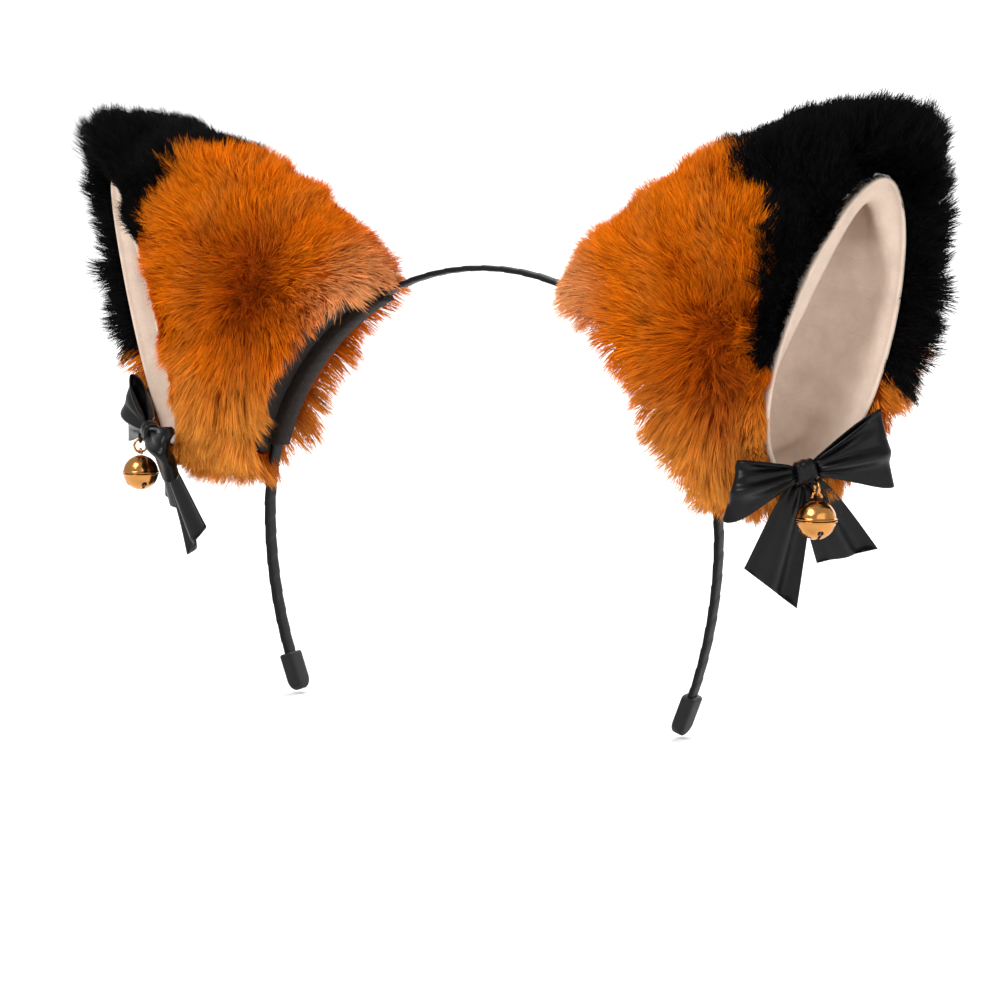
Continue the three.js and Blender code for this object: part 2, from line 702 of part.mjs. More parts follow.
// The lower half has two crossed slits that end in round holes.
function slittedDome() {
  const reach = BELL_RADIUS * sin(rad(SLIT_REACH));
  const height = BELL_RADIUS * cos(rad(SLIT_REACH));
  const tools = [0, PI / 2].flatMap((turn) => {
    const slit = new THREE.BoxGeometry(2 * reach, SLIT_WIDTH, BELL_RADIUS);
    slit.translate(0, 0, -height - BELL_RADIUS / 2).rotateZ(turn);
    const holes = [-1, 1].map((way) => (
      new THREE.CylinderGeometry(SLIT_HOLE_RADIUS, SLIT_HOLE_RADIUS, BELL_RADIUS, 10)
        .rotateX(PI / 2)
        .translate(0, 0, -BELL_RADIUS)
        .rotateY(-way * rad(SLIT_REACH))
        .rotateZ(turn)
    ));
    return [slit, ...holes];
  });
  return cut(bellDome().rotateX(PI), ...tools);
}

function pellet() {
  return new THREE.SphereGeometry(PELLET_RADIUS, 12, 8);
}

// ---------------------------------------------------------------- assembly

function addPiece(group, name, geometry, material) {
  const mesh = new THREE.Mesh(geometry, material);
  mesh.name = name;
  group.add(mesh);
  return mesh;
}

function buildEar(side) {
  const group = new THREE.Group();
  const onSide = (geometry) => (side === 'left' ? geometry : mirrored(geometry));
  const add = (name, geometry, material) => (
    addPiece(group, `${side}_${name}`, onSide(geometry), material)
  );
  for (const half of ['front', 'back']) {
    add(`ear_${half}_orange_fur`, brightPanel(half, side), FINISH.orangeFur);
    add(`ear_${half}_black_fur`, darkPanel(half, side), FINISH.blackFur);
  }
  add('ear_lining', lining(), FINISH.fleece);
  add('ear_filling', filling(), FINISH.filling);
  add('ear_shaping_wire', shapingWire(), FINISH.steel);
  add('ear_base_felt', baseFelt(), FINISH.felt);
  add('ear_band_sleeve', bandSleeve(), FINISH.felt);
  add('bow_outer_loop', bowLoop(OUTER_LOOP), FINISH.satin);
  add('bow_inner_loop', bowLoop(INNER_LOOP), FINISH.satin);
  add('bow_outer_tail', bowTail(OUTER_TAIL), FINISH.satin);
  add('bow_inner_tail', bowTail(INNER_TAIL), FINISH.satin);
  add('bow_knot', bowKnot(), FINISH.satin);
  add('bell_stitch', stitch(THREAD_RADIUS, 0), FINISH.thread);
  return group;
}

// The ring and the bell, built at the pendant's own place and turned to the bow's face.
function buildPendant(side) {
  const way = side === 'left' ? 1 : -1;
  const group = new THREE.Group();
  group.position.setFromMatrixPosition(PENDANT);
  group.position.x *= way;
  group.rotation.z = way * rad(MOUTH_FACING);
  addPiece(group, `${side}_bell_ring`, jumpRing(), FINISH.gold);
  addPiece(group, `${side}_bell_staple`, bellStaple(), FINISH.gold);
  const bell = new THREE.Group();
  bell.position.z = BELL_MIDDLE;
  addPiece(bell, `${side}_bell_upper_shell`, bellDome(), FINISH.gold);
  addPiece(bell, `${side}_bell_lower_shell`, slittedDome(), FINISH.gold);
  const ball = addPiece(bell, `${side}_bell_pellet`, pellet(), FINISH.steel);
  ball.position.z = -(BELL_RADIUS - BELL_WALL - PELLET_RADIUS - GAP);
  group.add(bell);
  return group;
}

function buildBand() {
  const group = new THREE.Group();
  const { band_spring: spring, band_wrap: wrap } = bandPieces();
  addPiece(group, 'band_spring', spring, FINISH.steel);
  addPiece(group, 'band_wrap', wrap, FINISH.ribbon);
  addPiece(group, 'band_left_tip', bandTip(), FINISH.tip);
  addPiece(group, 'band_right_tip', mirrored(bandTip()), FINISH.tip);
  return group;
}

const headband = new THREE.Group();
headband.add(buildBand());
for (const side of ['left', 'right']) {
  headband.add(buildEar(side));
  headband.add(buildPendant(side));
}

export default headband;
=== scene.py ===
"""Looks of an animal ears headband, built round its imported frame. Metres, +Z up.

The wearer faces -Y and +X is the wearer's left, so the two ears are the left and the
right one. Every shape is worked out for the left side and mirrored in X for the right.
"""

from math import asin, cos, pi, radians, sin

import bpy
import numpy as np
from mathutils import Matrix, Vector


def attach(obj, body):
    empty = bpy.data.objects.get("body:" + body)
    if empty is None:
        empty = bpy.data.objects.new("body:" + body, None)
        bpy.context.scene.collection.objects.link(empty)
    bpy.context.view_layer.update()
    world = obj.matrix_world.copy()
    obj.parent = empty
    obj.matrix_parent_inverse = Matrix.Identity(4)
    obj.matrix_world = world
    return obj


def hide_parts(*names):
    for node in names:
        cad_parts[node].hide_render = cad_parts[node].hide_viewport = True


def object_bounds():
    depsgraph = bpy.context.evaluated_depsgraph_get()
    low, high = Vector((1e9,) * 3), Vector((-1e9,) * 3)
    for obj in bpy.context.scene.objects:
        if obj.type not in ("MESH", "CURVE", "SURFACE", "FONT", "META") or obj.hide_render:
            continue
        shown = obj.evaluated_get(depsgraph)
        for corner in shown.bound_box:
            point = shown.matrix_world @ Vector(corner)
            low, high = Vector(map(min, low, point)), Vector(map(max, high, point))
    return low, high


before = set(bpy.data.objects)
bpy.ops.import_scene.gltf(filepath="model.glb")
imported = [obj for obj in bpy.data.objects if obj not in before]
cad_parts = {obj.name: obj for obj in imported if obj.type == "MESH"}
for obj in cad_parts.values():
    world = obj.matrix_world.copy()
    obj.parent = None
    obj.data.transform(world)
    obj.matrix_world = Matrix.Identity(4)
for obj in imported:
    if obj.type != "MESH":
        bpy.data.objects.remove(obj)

bl_info = {
    "name": "Animal Ears Headband",
    "version": (1, 0, 0),
    "blender": (4, 5, 0),
    "location": "3D View > Sidebar > Ears",
    "description": "Builds the fur, cloth, ribbon and metal of an animal ears headband",
    "category": "Object",
}

CAD_BOX = [list(corner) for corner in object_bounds()]
SIDES = {"left": 1.0, "right": -1.0}

# ------------------------------------------------------------------ sizes of the frame

HEAD_RADIUS = 0.076
CROWN_Z = -HEAD_RADIUS * cos(radians(2.5))
ARM_DROP = 0.052
ARM_TUCK = 0.010
WRAP_THICKNESS = 0.0016
WRAP_WIDTH = 0.0051
BAND_OUTSIDE = HEAD_RADIUS + WRAP_THICKNESS
FUR_SEAT = BAND_OUTSIDE + 0.0003
BASE_MIDDLE = radians(50.5)
BASE_LENGTH = 0.084
BASE_DEPTH = 0.044
BASE_FORWARD = 0.004
MOUTH_TOP = np.array([0.1278, -0.0108, 0.026])
MOUTH_BOTTOM = np.array([0.1042, -0.0126, -0.0545])
MOUTH_WIDTH = 0.0275
MOUTH_FACING = radians(38)
CUP_DEPTH = 0.026
FUR_THICKNESS = 0.0063
LINING_THICKNESS = 0.0016
RIMS = (0.0115, 0.0195, 0.0105, 0.0098)
RIM_PROUD = 0.0025
CLOTH_SINK = 0.0012
COLOUR_START = 0.52
COLOUR_BEND = 0.85
BACK_COLOUR_END = radians(-11)
FRONT_COLOUR_END = {"left": radians(196), "right": radians(156)}
BOW_LIFT = 0.0073
BOW_RAISE = 0.004
BOW_TILT = radians(15)
RING_RADIUS = 0.002
RING_WIRE = 0.0004
BELL_RADIUS = 0.0055


# ------------------------------------------------------------------ arithmetic


def unit(v):
    """Vectors along the last axis, scaled to length one."""
    return v / np.maximum(np.linalg.norm(v, axis=-1, keepdims=True), 1e-12)


def mix(a, b, share):
    """The value a given share of the way from a to b."""
    return a + (b - a) * share


def smooth(low, high, x):
    """0 below low, 1 above high and an eased climb between them."""
    t = np.clip((x - low) / (high - low), 0, 1)
    return t * t * (3 - 2 * t)


def col(x):
    """An array with one more axis at its end, to multiply vectors with."""
    return np.asarray(x, float)[..., None]


UP_AXIS = unit(MOUTH_TOP - MOUTH_BOTTOM)
BACK_AXIS = np.array([cos(MOUTH_FACING), sin(MOUTH_FACING), 0.0])
BACK_AXIS = unit(BACK_AXIS - (BACK_AXIS @ UP_AXIS) * UP_AXIS)
FRONT_AXIS = np.cross(BACK_AXIS, UP_AXIS)
MOUTH_CENTRE = (MOUTH_TOP + MOUTH_BOTTOM) / 2
MOUTH_HALF = float(np.linalg.norm(MOUTH_TOP - MOUTH_BOTTOM) / 2)
INWARD = unit(np.array([-0.84, 0.54, -0.04]))
CROWN_CENTRE = np.array([0.0, 0.0, CROWN_Z])


def mouth_point(a, outside=0.0, height=0.0):
    """Oval round the mouth: its half width, less 18% towards the tip, times cos a, and
    its half length times sin a, both grown by outside, then lifted off its plane."""
    across = (MOUTH_WIDTH / 2 * (1 - 0.18 * np.sin(a)) + outside) * np.cos(a)
    upward = (MOUTH_HALF + outside) * np.sin(a)
    lift = height + 0 * np.sin(a)
    return (
        MOUTH_CENTRE + BACK_AXIS * col(across) + UP_AXIS * col(upward) + FRONT_AXIS * col(lift)
    )


def around(a, back, top, front, foot):
    """A value that runs through four given ones round the mouth."""
    sideways = np.where(np.cos(a) > 0, back, front)
    lengthways = np.where(np.sin(a) > 0, top, foot)
    return mix(sideways, lengthways, np.abs(np.sin(a)) ** 2.8)


def seat_point(a, inset, radius, share=1.0):
    """Oval on a cylinder round the head: its long way is an arc and its short way is Y."""
    half = (BASE_LENGTH / 2 - inset) * share
    down = BASE_MIDDLE - half * np.sin(a) / BAND_OUTSIDE
    y = (BASE_DEPTH / 2 - inset) * share * np.cos(a) - BASE_FORWARD
    return np.stack([radius * np.sin(down), y, CROWN_Z + radius * np.cos(down)], -1)


def skin_point(a, u, depth=0.0):
    """Cubic curve from the seat to the crest of the rim, square to the head at its start,
    for each angle a, at share u, on a layer a depth below the pile's average outside."""
    depth = depth + 0 * u
    start = seat_point(a, depth, FUR_SEAT)
    height = mix(RIM_PROUD, -CLOTH_SINK, depth / FUR_THICKNESS)
    end = mouth_point(a, around(a, *RIMS) - depth, height)
    leaving = start - CROWN_CENTRE
    leaving[..., 1] = 0
    leaving = unit(leaving)
    leaving[..., 1] = 0.3 * np.cos(a)
    arriving = unit(
        np.stack([0.9 + 0 * a, -0.28 - 0.32 * np.cos(a), -0.1 - 0.15 * np.sin(a)], -1)
    )
    rise = around(a, 0.026, 0.021, 0.012, 0.010) - depth / 2
    reach = around(a, 0.034, 0.038, 0.020, 0.012) - depth / 2
    first = start + unit(leaving) * col(rise)
    second = end - arriving * col(reach)
    u = col(u)
    v = 1 - u
    return v**3 * start + 3 * v * v * u * first + 3 * v * u * u * second + u**3 * end


def pile_point(a, u, depth=0.0):
    """The skin for u from 0 to 1, then, for u from 1 to 2, a quadratic curve from the
    crest over the rim's brow to the lip beside the lining."""
    a, u = np.broadcast_arrays(np.asarray(a, float), np.asarray(u, float))
    skin = skin_point(a, np.clip(u, 0, 1), depth)
    crest = skin_point(a, np.ones_like(a), depth)
    lip = mouth_point(a, 0.0019, -0.6 * depth)
    brow = (crest + lip) / 2 + FRONT_AXIS * 0.0022
    t = col(np.clip(u - 1, 0, 1))
    rim = (1 - t) ** 2 * crest + 2 * t * (1 - t) * brow + t * t * lip
    return np.where(col(u) > 1, rim, skin)


def cup_point(a, share, behind=0.0):
    """Bowl inside the mouth: a quarter turn from its rim at share 0 to its bottom at 1,
    which narrows as cos to the power 0.8 and deepens as sin."""
    swing = share * pi / 2
    narrow = np.cos(np.minimum(swing, pi / 2 - 1e-4)) ** 0.8
    across = (mouth_point(a, behind) - MOUTH_CENTRE) * col(narrow)
    return MOUTH_CENTRE + across + INWARD * col((CUP_DEPTH + behind) * np.sin(swing))


def colour_change(a, side):
    """Share of the skin where the dark fur starts: halfway up at the ridge, and at the
    crest where the dark fur ends on either side of the mouth."""
    end = np.where(a > pi / 2, FRONT_COLOUR_END[side], BACK_COLOUR_END)
    share = np.minimum(1, np.abs((a - pi / 2) / (end - pi / 2)))
    return mix(COLOUR_START, 1, share**COLOUR_BEND)


def ripple(p, seed, scale, amount):
    """Smooth noise vectors: a sum of five sine waves of random directions through p."""
    rng = np.random.default_rng(seed)
    total = np.zeros(p.shape)
    for _ in range(5):
        wave = unit(rng.normal(size=3)) * 2 * pi / (scale * rng.uniform(0.7, 1.5))
        push = rng.normal(size=3)
        total += np.sin(p @ wave + rng.uniform(0, 2 * pi))[..., None] * push
    return total * amount / 2.2


# ------------------------------------------------------------------ meshes


NO_TRIS = np.zeros((0, 3), int)


def new_piece(name, points, quads, tris, material):
    """A smooth mesh object from vertex and face arrays, linked to the scene."""
    faces = len(quads) + len(tris)
    mesh = bpy.data.meshes.new(name)
    mesh.vertices.add(len(points))
    mesh.vertices.foreach_set("co", np.asarray(points, np.float32).ravel())
    corners = np.concatenate([quads.ravel(), tris.ravel()]).astype(np.int32)
    mesh.loops.add(len(corners))
    mesh.loops.foreach_set("vertex_index", corners)
    first = np.arange(len(quads)) * 4
    rest = len(quads) * 4 + np.arange(len(tris)) * 3
    mesh.polygons.add(faces)
    mesh.polygons.foreach_set("loop_start", np.concatenate([first, rest]).astype(np.int32))
    mesh.polygons.foreach_set("use_smooth", np.ones(faces, bool))
    mesh.update(calc_edges=True)
    mesh.validate()
    mesh.materials.append(material)
    piece = bpy.data.objects.new(name, mesh)
    bpy.context.scene.collection.objects.link(piece)
    return piece


def put_attribute(piece, name, values):
    """A number for each vertex, for the materials to read."""
    attribute = piece.data.attributes.new(name, "FLOAT", "POINT")
    attribute.data.foreach_set("value", np.asarray(values, np.float32).ravel())


def volume_of(points, quads, tris):
    """Six times the signed volume inside the faces: each triangle with the origin."""
    faces = np.concatenate([quads[:, [0, 1, 2]], quads[:, [0, 2, 3]], tris])
    a, b, c = (points[faces[:, corner]] for corner in range(3))
    return np.einsum("ij,ij->i", a, np.cross(b, c)).sum()


def grid_quads(rows, count, closed_rows=False, closed_columns=False):
    """Quads between neighbours in a grid of points, with its last row or column joined to
    its first when it is closed."""
    i, j = np.meshgrid(
        np.arange(rows - (not closed_rows)), np.arange(count - (not closed_columns)), indexing="ij"
    )
    after, beside = (i + 1) % rows, (j + 1) % count
    corners = [i * count + j, i * count + beside, after * count + beside, after * count + j]
    return np.stack(corners, -1).reshape(-1, 4)


def lofted(name, rings, material, ends="fan"):
    """A closed solid through rings of points, its ends closed by a fan to a middle point,
    or, with ends as "join", its last ring joined to its first. Faces are turned outwards."""
    rows, count = rings.shape[:2]
    points = rings.reshape(-1, 3)
    quads, tris = grid_quads(rows, count, ends == "join", True), NO_TRIS
    if ends == "fan":
        points = np.vstack([points, rings[0].mean(0), rings[-1].mean(0)])
        k = np.arange(count)
        n = (k + 1) % count
        low, high = rows * count, rows * count + 1
        last = (rows - 1) * count
        first_fan = np.stack([n, k, np.full(count, low)], -1)
        last_fan = np.stack([last + k, last + n, np.full(count, high)], -1)
        tris = np.vstack([first_fan, last_fan])
    if volume_of(points, quads, tris) < 0:
        quads, tris = quads[:, ::-1], tris[:, ::-1]
    return new_piece(name, points, quads, tris, material)


def swept(path, side, up, outline):
    """Rings of an outline's two measures, laid along each path point's side and up."""
    return path[:, None] + outline[..., :1] * side[:, None] + outline[..., 1:] * up[:, None]


def rounded_outline(width, height, count=16, power=0.5):
    """A rounded rectangle: a circle whose cos and sin are raised to a power."""
    t = np.arange(count) * 2 * pi / count + pi / count
    c, s = np.cos(t), np.sin(t)
    x = np.sign(c) * np.abs(c) ** power * width / 2
    y = np.sign(s) * np.abs(s) ** power * height / 2
    return np.stack([x, y], -1)


def on_side(points, side):
    """Points of the left side, or their mirror image for the right one."""
    return points * np.array([SIDES[side], 1.0, 1.0])


def fit(piece, body, node):
    """Puts a piece on its body and hides the node of the frame that it takes the place of."""
    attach(piece, body)
    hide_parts(node)


def clothe(node, material):
    """Gives a node of the frame that stays in sight its material."""
    node.data.materials.clear()
    node.data.materials.append(material)


# ------------------------------------------------------------------ materials


class Nodes:
    """A material's node tree, with short calls to add nodes and link them."""

    def __init__(self, name):
        self.material = bpy.data.materials.new(name)
        self.material.use_nodes = True
        self.tree = self.material.node_tree
        self.shader = self.tree.nodes["Principled BSDF"]

    def add(self, kind, links=(), **values):
        """A node with its properties set, and its inputs linked or set by name."""
        node = self.tree.nodes.new(kind)
        for key, value in values.items():
            setattr(node, key, value)
        self.feed(node, links)
        return node

    def feed(self, node, links):
        """Links or sets inputs of a node from (input, socket or value) pairs."""
        for key, value in links:
            if isinstance(value, bpy.types.NodeSocket):
                self.tree.links.new(value, node.inputs[key])
            else:
                node.inputs[key].default_value = value

    def attribute(self, name):
        """The value of a vertex attribute."""
        return self.add("ShaderNodeAttribute", attribute_name=name).outputs["Fac"]

    def position(self, scale=(1, 1, 1)):
        """Object coordinates, stretched by a scale."""
        place = self.add("ShaderNodeTexCoord").outputs["Object"]
        return self.add("ShaderNodeMapping", [(0, place), ("Scale", scale)]).outputs[0]

    def noise(self, scale, vector=None, detail=3.0, roughness=0.55):
        """Noise in metres to the minus one, on object coordinates unless given."""
        vector = self.position() if vector is None else vector
        links = [("Vector", vector), ("Scale", scale), ("Detail", detail), ("Roughness", roughness)]
        return self.add("ShaderNodeTexNoise", links).outputs["Fac"]

    def ramp(self, value, stops):
        """A colour ramp through (position, colour) stops."""
        node = self.add("ShaderNodeValToRGB", [(0, value)])
        elements = node.color_ramp.elements
        elements[0].position, elements[1].position = stops[0][0], stops[-1][0]
        elements[0].color = (*stops[0][1], 1)
        elements[1].color = (*stops[-1][1], 1)
        for place, colour in stops[1:-1]:
            elements.new(place).color = (*colour, 1)
        return node.outputs[0]

    def spread(self, value, low, high):
        """A 0 to 1 value mapped to a range."""
        return self.add("ShaderNodeMapRange", [(0, value), (3, low), (4, high)]).outputs[0]

    def blend(self, share, one, two, kind="MIX"):
        """Two colours mixed by a share."""
        return self.add(
            "ShaderNodeMix", [(0, share), (6, one), (7, two)], data_type="RGBA", blend_type=kind
        ).outputs[2]

    def sum(self, one, two, operation="ADD"):
        """Two numbers joined by a sum or another operation."""
        return self.add("ShaderNodeMath", [(0, one), (1, two)], operation=operation).outputs[0]

    def bump(self, height, strength, distance):
        """A normal tilted by a height."""
        links = [("Height", height), ("Strength", strength), ("Distance", distance)]
        return self.add("ShaderNodeBump", links).outputs[0]

    def finish(self, *links):
        """Feeds the shader's inputs and returns the material."""
        self.feed(self.shader, links)
        return self.material


def rgba(colour):
    """A colour of three parts with a full fourth one."""
    return (*colour, 1.0)


def tint(colour, gain):
    """A colour made darker or lighter by a gain."""
    return [part * gain for part in colour]


def fur_material(name, root, middle, tip, low, deep, pale, gloss):
    """Fur: each strand runs from a dark root to a bright tip, tinted by where it grows and
    by its own tone."""
    n = Nodes(name)
    along = n.attribute("along")
    strand = n.ramp(along, [(0.0, root), (0.45, middle), (1.0, tip)])
    gold = n.blend(n.sum(n.attribute("low"), along, "MULTIPLY"), strand, rgba(low))
    peach = n.blend(n.sum(n.attribute("pale"), along, "MULTIPLY"), gold, rgba(pale))
    dark = n.blend(n.attribute("deep"), peach, rgba(deep))
    tone = n.spread(n.attribute("tone"), 0.52, 1.38)
    patch = n.spread(n.noise(90, detail=2), 0.80, 1.18)
    shade = n.sum(tone, patch, "MULTIPLY")
    grey = n.add("ShaderNodeCombineColor", [(0, shade), (1, shade), (2, shade)]).outputs[0]
    colour = n.blend(1.0, dark, grey, "MULTIPLY")
    return n.finish(
        ("Base Color", colour), ("Roughness", 0.6), ("Specular IOR Level", gloss)
    )


def fleece_material(colour):
    """Short-pile fleece: mottled, with a fine nap, and darkened brown by painted shade where the
    lining's attribute says.
    """
    n = Nodes("Fleece")
    mottle = n.noise(160, detail=4)
    pile = n.ramp(mottle, [(0.3, tint(colour, 0.84)), (0.7, colour)])
    # painted shade: brown mixed into the fleece below the lip and in the crease, by the lining's
    # attribute
    shade = n.attribute("crease_and_painted_shade")
    base = n.blend(n.sum(shade, 0.8, "MULTIPLY"), pile, rgba([0.30, 0.18, 0.10]))
    nap = n.noise(2600, detail=3, roughness=0.7)
    curl = n.noise(700, detail=2)
    height = n.sum(nap, n.sum(curl, 0.9, "MULTIPLY"))
    return n.finish(
        ("Base Color", base),
        ("Normal", n.bump(height, 0.55, 0.0005)),
        ("Roughness", 0.93),
        ("Specular IOR Level", 0.15),
        ("Sheen Weight", 0.12),
        ("Sheen Roughness", 0.5),
    )


def satin_material(colour):
    """Black satin: fine ribs across the ribbon under a soft gloss."""
    n = Nodes("Satin")
    weave = n.noise(1, n.position((5200, 5200, 5200)), detail=1)
    cloud = n.noise(220, detail=3)
    return n.finish(
        ("Base Color", n.ramp(cloud, [(0.3, tint(colour, 0.7)), (0.75, tint(colour, 1.5))])),
        ("Roughness", n.spread(cloud, 0.28, 0.4)),
        ("Normal", n.bump(weave, 0.12, 0.0001)),
        ("Specular IOR Level", 0.15),
        ("Coat Weight", 0.06),
        ("Coat Roughness", 0.18),
    )


def gold_material(colour):
    """Polished gold plating with shallow dents, faint smears and fine scratches."""
    n = Nodes("Gold plate")
    smear = n.noise(420, detail=3)
    scratch = n.noise(1, n.position((900, 900, 9000)), detail=2)
    rough = n.sum(n.spread(smear, 0.1, 0.2), n.spread(scratch, 0.0, 0.06))
    dents = n.sum(n.noise(480, detail=1), n.sum(scratch, 0.05, "MULTIPLY"))
    return n.finish(
        ("Base Color", n.ramp(smear, [(0.3, tint(colour, 0.9)), (0.7, colour)])),
        ("Roughness", rough),
        ("Normal", n.bump(dents, 0.5, 0.0004)),
        ("Metallic", 1.0),
    )


def ribbon_wrap_material(colour):
    """Grosgrain ribbon: fine ribs along the wound strips."""
    n = Nodes("Ribbon wrap")
    rib = n.noise(1, n.position((2600, 700, 2600)), detail=2)
    return n.finish(
        ("Base Color", n.ramp(rib, [(0.25, tint(colour, 0.6)), (0.8, tint(colour, 1.6))])),
        ("Normal", n.bump(rib, 0.3, 0.00015)),
        ("Roughness", 0.5),
        ("Specular IOR Level", 0.15),
    )


def cloth_material(name, colour, grain=900.0, sheen=0.06):
    """Felt, thread or loose filling: fibres at one grain."""
    n = Nodes(name)
    fibre = n.noise(grain, detail=5, roughness=0.7)
    return n.finish(
        ("Base Color", n.ramp(fibre, [(0.3, tint(colour, 0.65)), (0.75, tint(colour, 1.15))])),
        ("Normal", n.bump(fibre, 0.6, 0.0006)),
        ("Roughness", 0.95),
        ("Specular IOR Level", 0.08),
        ("Sheen Weight", sheen),
    )


def rubber_material(colour):
    """Soft matt rubber with a fine orange peel."""
    n = Nodes("Tip rubber")
    peel = n.noise(1500, detail=2)
    return n.finish(
        ("Base Color", n.ramp(peel, [(0.2, tint(colour, 0.8)), (0.8, colour)])),
        ("Roughness", n.spread(peel, 0.5, 0.66)),
        ("Normal", n.bump(peel, 0.2, 0.0001)),
        ("Specular IOR Level", 0.2),
    )


def steel_material():
    """Bare spring steel with draw lines."""
    n = Nodes("Spring steel")
    lines = n.noise(1, n.position((4000, 4000, 300)), detail=2)
    return n.finish(
        ("Base Color", n.ramp(lines, [(0.2, (0.30, 0.31, 0.33)), (0.8, (0.46, 0.47, 0.49))])),
        ("Roughness", n.spread(lines, 0.25, 0.42)),
        ("Metallic", 1.0),
    )


def floor_material(colour):
    """Pale matt floor with a trace of grain."""
    n = Nodes("Floor")
    grain = n.noise(60, detail=3)
    return n.finish(
        ("Base Color", n.ramp(grain, [(0.2, tint(colour, 0.985)), (0.8, colour)])),
        ("Roughness", 0.9),
        ("Specular IOR Level", 0.1),
    )


# ------------------------------------------------------------------ settings


def colour_prop(name, text, value):
    """A colour property."""
    return bpy.props.FloatVectorProperty(
        name=name, description=text, subtype="COLOR", size=3, min=0, max=1, default=value
    )


def length_prop(name, text, value):
    """A length property, in metres."""
    return bpy.props.FloatProperty(
        name=name, description=text, default=value, min=0, precision=5, unit="LENGTH"
    )


def number_prop(name, text, value, top):
    """A plain number property."""
    return bpy.props.FloatProperty(name=name, description=text, default=value, min=0, max=top)


def angle_prop(name, text, value):
    """An angle property."""
    return bpy.props.FloatProperty(name=name, description=text, default=value, subtype="ANGLE")


def count_prop(name, text, value, least):
    """A whole number property."""
    return bpy.props.IntProperty(name=name, description=text, default=value, min=least)


class FurSettings(bpy.types.PropertyGroup):
    """Fur of both ears."""

    front_count: count_prop("Front strands", "Orange strands on one ear's front", 36000, 100)
    back_count: count_prop("Back strands", "Orange strands on one ear's back", 36000, 100)
    dark_count: count_prop("Dark strands", "Black strands on one half of an ear", 34000, 100)
    tuft: count_prop("Tuft", "Strands that lean together in one tuft", 9, 1)
    bright_length: length_prop("Orange length", "Length of the longest orange strands", 0.0122)
    dark_length: length_prop("Black length", "Length of the black strands", 0.0086)
    strand_width: length_prop("Strand width", "Widest part of a strand", 0.00019)
    root_depth: length_prop("Root depth", "Roots' depth below the pile's outside", 0.0052)
    clumping: number_prop("Clumping", "How far strands meet at the tip of their tuft", 0.6, 1.0)
    root: colour_prop("Orange root", "Orange fur at its root", (0.30, 0.040, 0.001))
    middle: colour_prop("Orange middle", "Orange fur along its length", (0.68, 0.140, 0.002))
    tip: colour_prop("Orange tip", "Orange fur at its tip", (0.84, 0.215, 0.004))
    gold: colour_prop("Gold", "Paler orange low on the ear", (0.80, 0.33, 0.055))
    rust: colour_prop("Rust", "Darker orange where the pile parts", (0.36, 0.048, 0.002))
    peach: colour_prop("Peach", "Pale fur at the crown end", (0.88, 0.48, 0.22))
    black: colour_prop("Black", "Black fur", (0.0018, 0.0017, 0.0019))
    black_tip: colour_prop("Black tip", "Black fur at its tips", (0.0065, 0.0062, 0.0068))


class ClothSettings(bpy.types.PropertyGroup):
    """Fleece, felt, filling and ribbon."""

    fleece: colour_prop("Fleece", "Lining of the ears", (0.79, 0.625, 0.51))
    lip_radius: length_prop("Lip", "Radius of the lining's rolled lip", 0.0009)
    wrinkle: length_prop("Wrinkle", "Height of the lining's soft creases", 0.0012)
    felt: colour_prop("Felt", "Felt under the ears", (0.016, 0.012, 0.010))
    filling: colour_prop("Filling", "Loose filling", (0.85, 0.84, 0.81))
    satin: colour_prop("Satin", "Bow ribbon", (0.0026, 0.0026, 0.0032))
    thread: colour_prop("Thread", "Thread that ties the bell on", (0.012, 0.012, 0.013))


class BandSettings(bpy.types.PropertyGroup):
    """Band and its wrapping."""

    pitch: length_prop("Pitch", "Distance from one turn of the wound ribbon to the next", 0.0062)
    ridge: length_prop("Ridge", "Height of the ribbon's overlaps", 0.00028)
    wrap: colour_prop("Ribbon", "Ribbon wound on the band", (0.004, 0.004, 0.005))
    tip: colour_prop("Tips", "Rubber tips", (0.010, 0.010, 0.011))


class BellSettings(bpy.types.PropertyGroup):
    """Bells and their rings."""

    gold: colour_prop("Gold", "Gold plating", (0.55, 0.25, 0.07))
    slit: length_prop("Slit", "Width of the bell's slits", 0.0009)


class StageSettings(bpy.types.PropertyGroup):
    """Camera, lights and floor."""

    azimuth: angle_prop("Azimuth", "Camera's angle round the object", radians(29))
    elevation: angle_prop("Elevation", "Camera's angle above level", radians(4.5))
    distance: length_prop("Distance", "From the camera to the aim point", 0.730)
    lens: number_prop("Lens", "Focal length in millimetres", 88.0, 500.0)
    floor: colour_prop("Floor", "Floor and backdrop", (0.97, 0.97, 0.97))


# ------------------------------------------------------------------ fur


WHORLS = {
    ("left", "front"): (radians(196), 0.80),
    ("right", "front"): (radians(166), 0.42),
    ("left", "back"): (radians(6), 0.42),
    ("right", "back"): (radians(-4), 0.48),
}
EAR_ANGLES = {"front": (pi / 2, 3 * pi / 2), "back": (-pi / 2, pi / 2)}
SEAM = radians(0.8)
PILE_END = 1.93
STRAND_STEPS = np.array([0.0, 0.4, 0.74, 1.0])
STRAND_POINTS = 7


def panel_limits(half, dark, side):
    """Ring angles from which a panel's own strands grow."""
    low, high = EAR_ANGLES[half]
    if not dark:
        return low + SEAM, high - SEAM
    if half == "front":
        return low + SEAM, FRONT_COLOUR_END[side]
    return BACK_COLOUR_END, high - SEAM


def in_panel(a, u, dark, side):
    """True where the fur at an angle and a share has the panel's colour. The change of
    colour wavers by a few hundredths."""
    waver = 0.018 * np.sin(13 * a + 1) + 0.012 * np.sin(37 * a)
    ends = np.where(a > pi / 2, FRONT_COLOUR_END[side] - a, a - BACK_COLOUR_END)
    black = (u > colour_change(a, side) + waver) & (ends + 0.5 * waver > 0)
    return black == dark


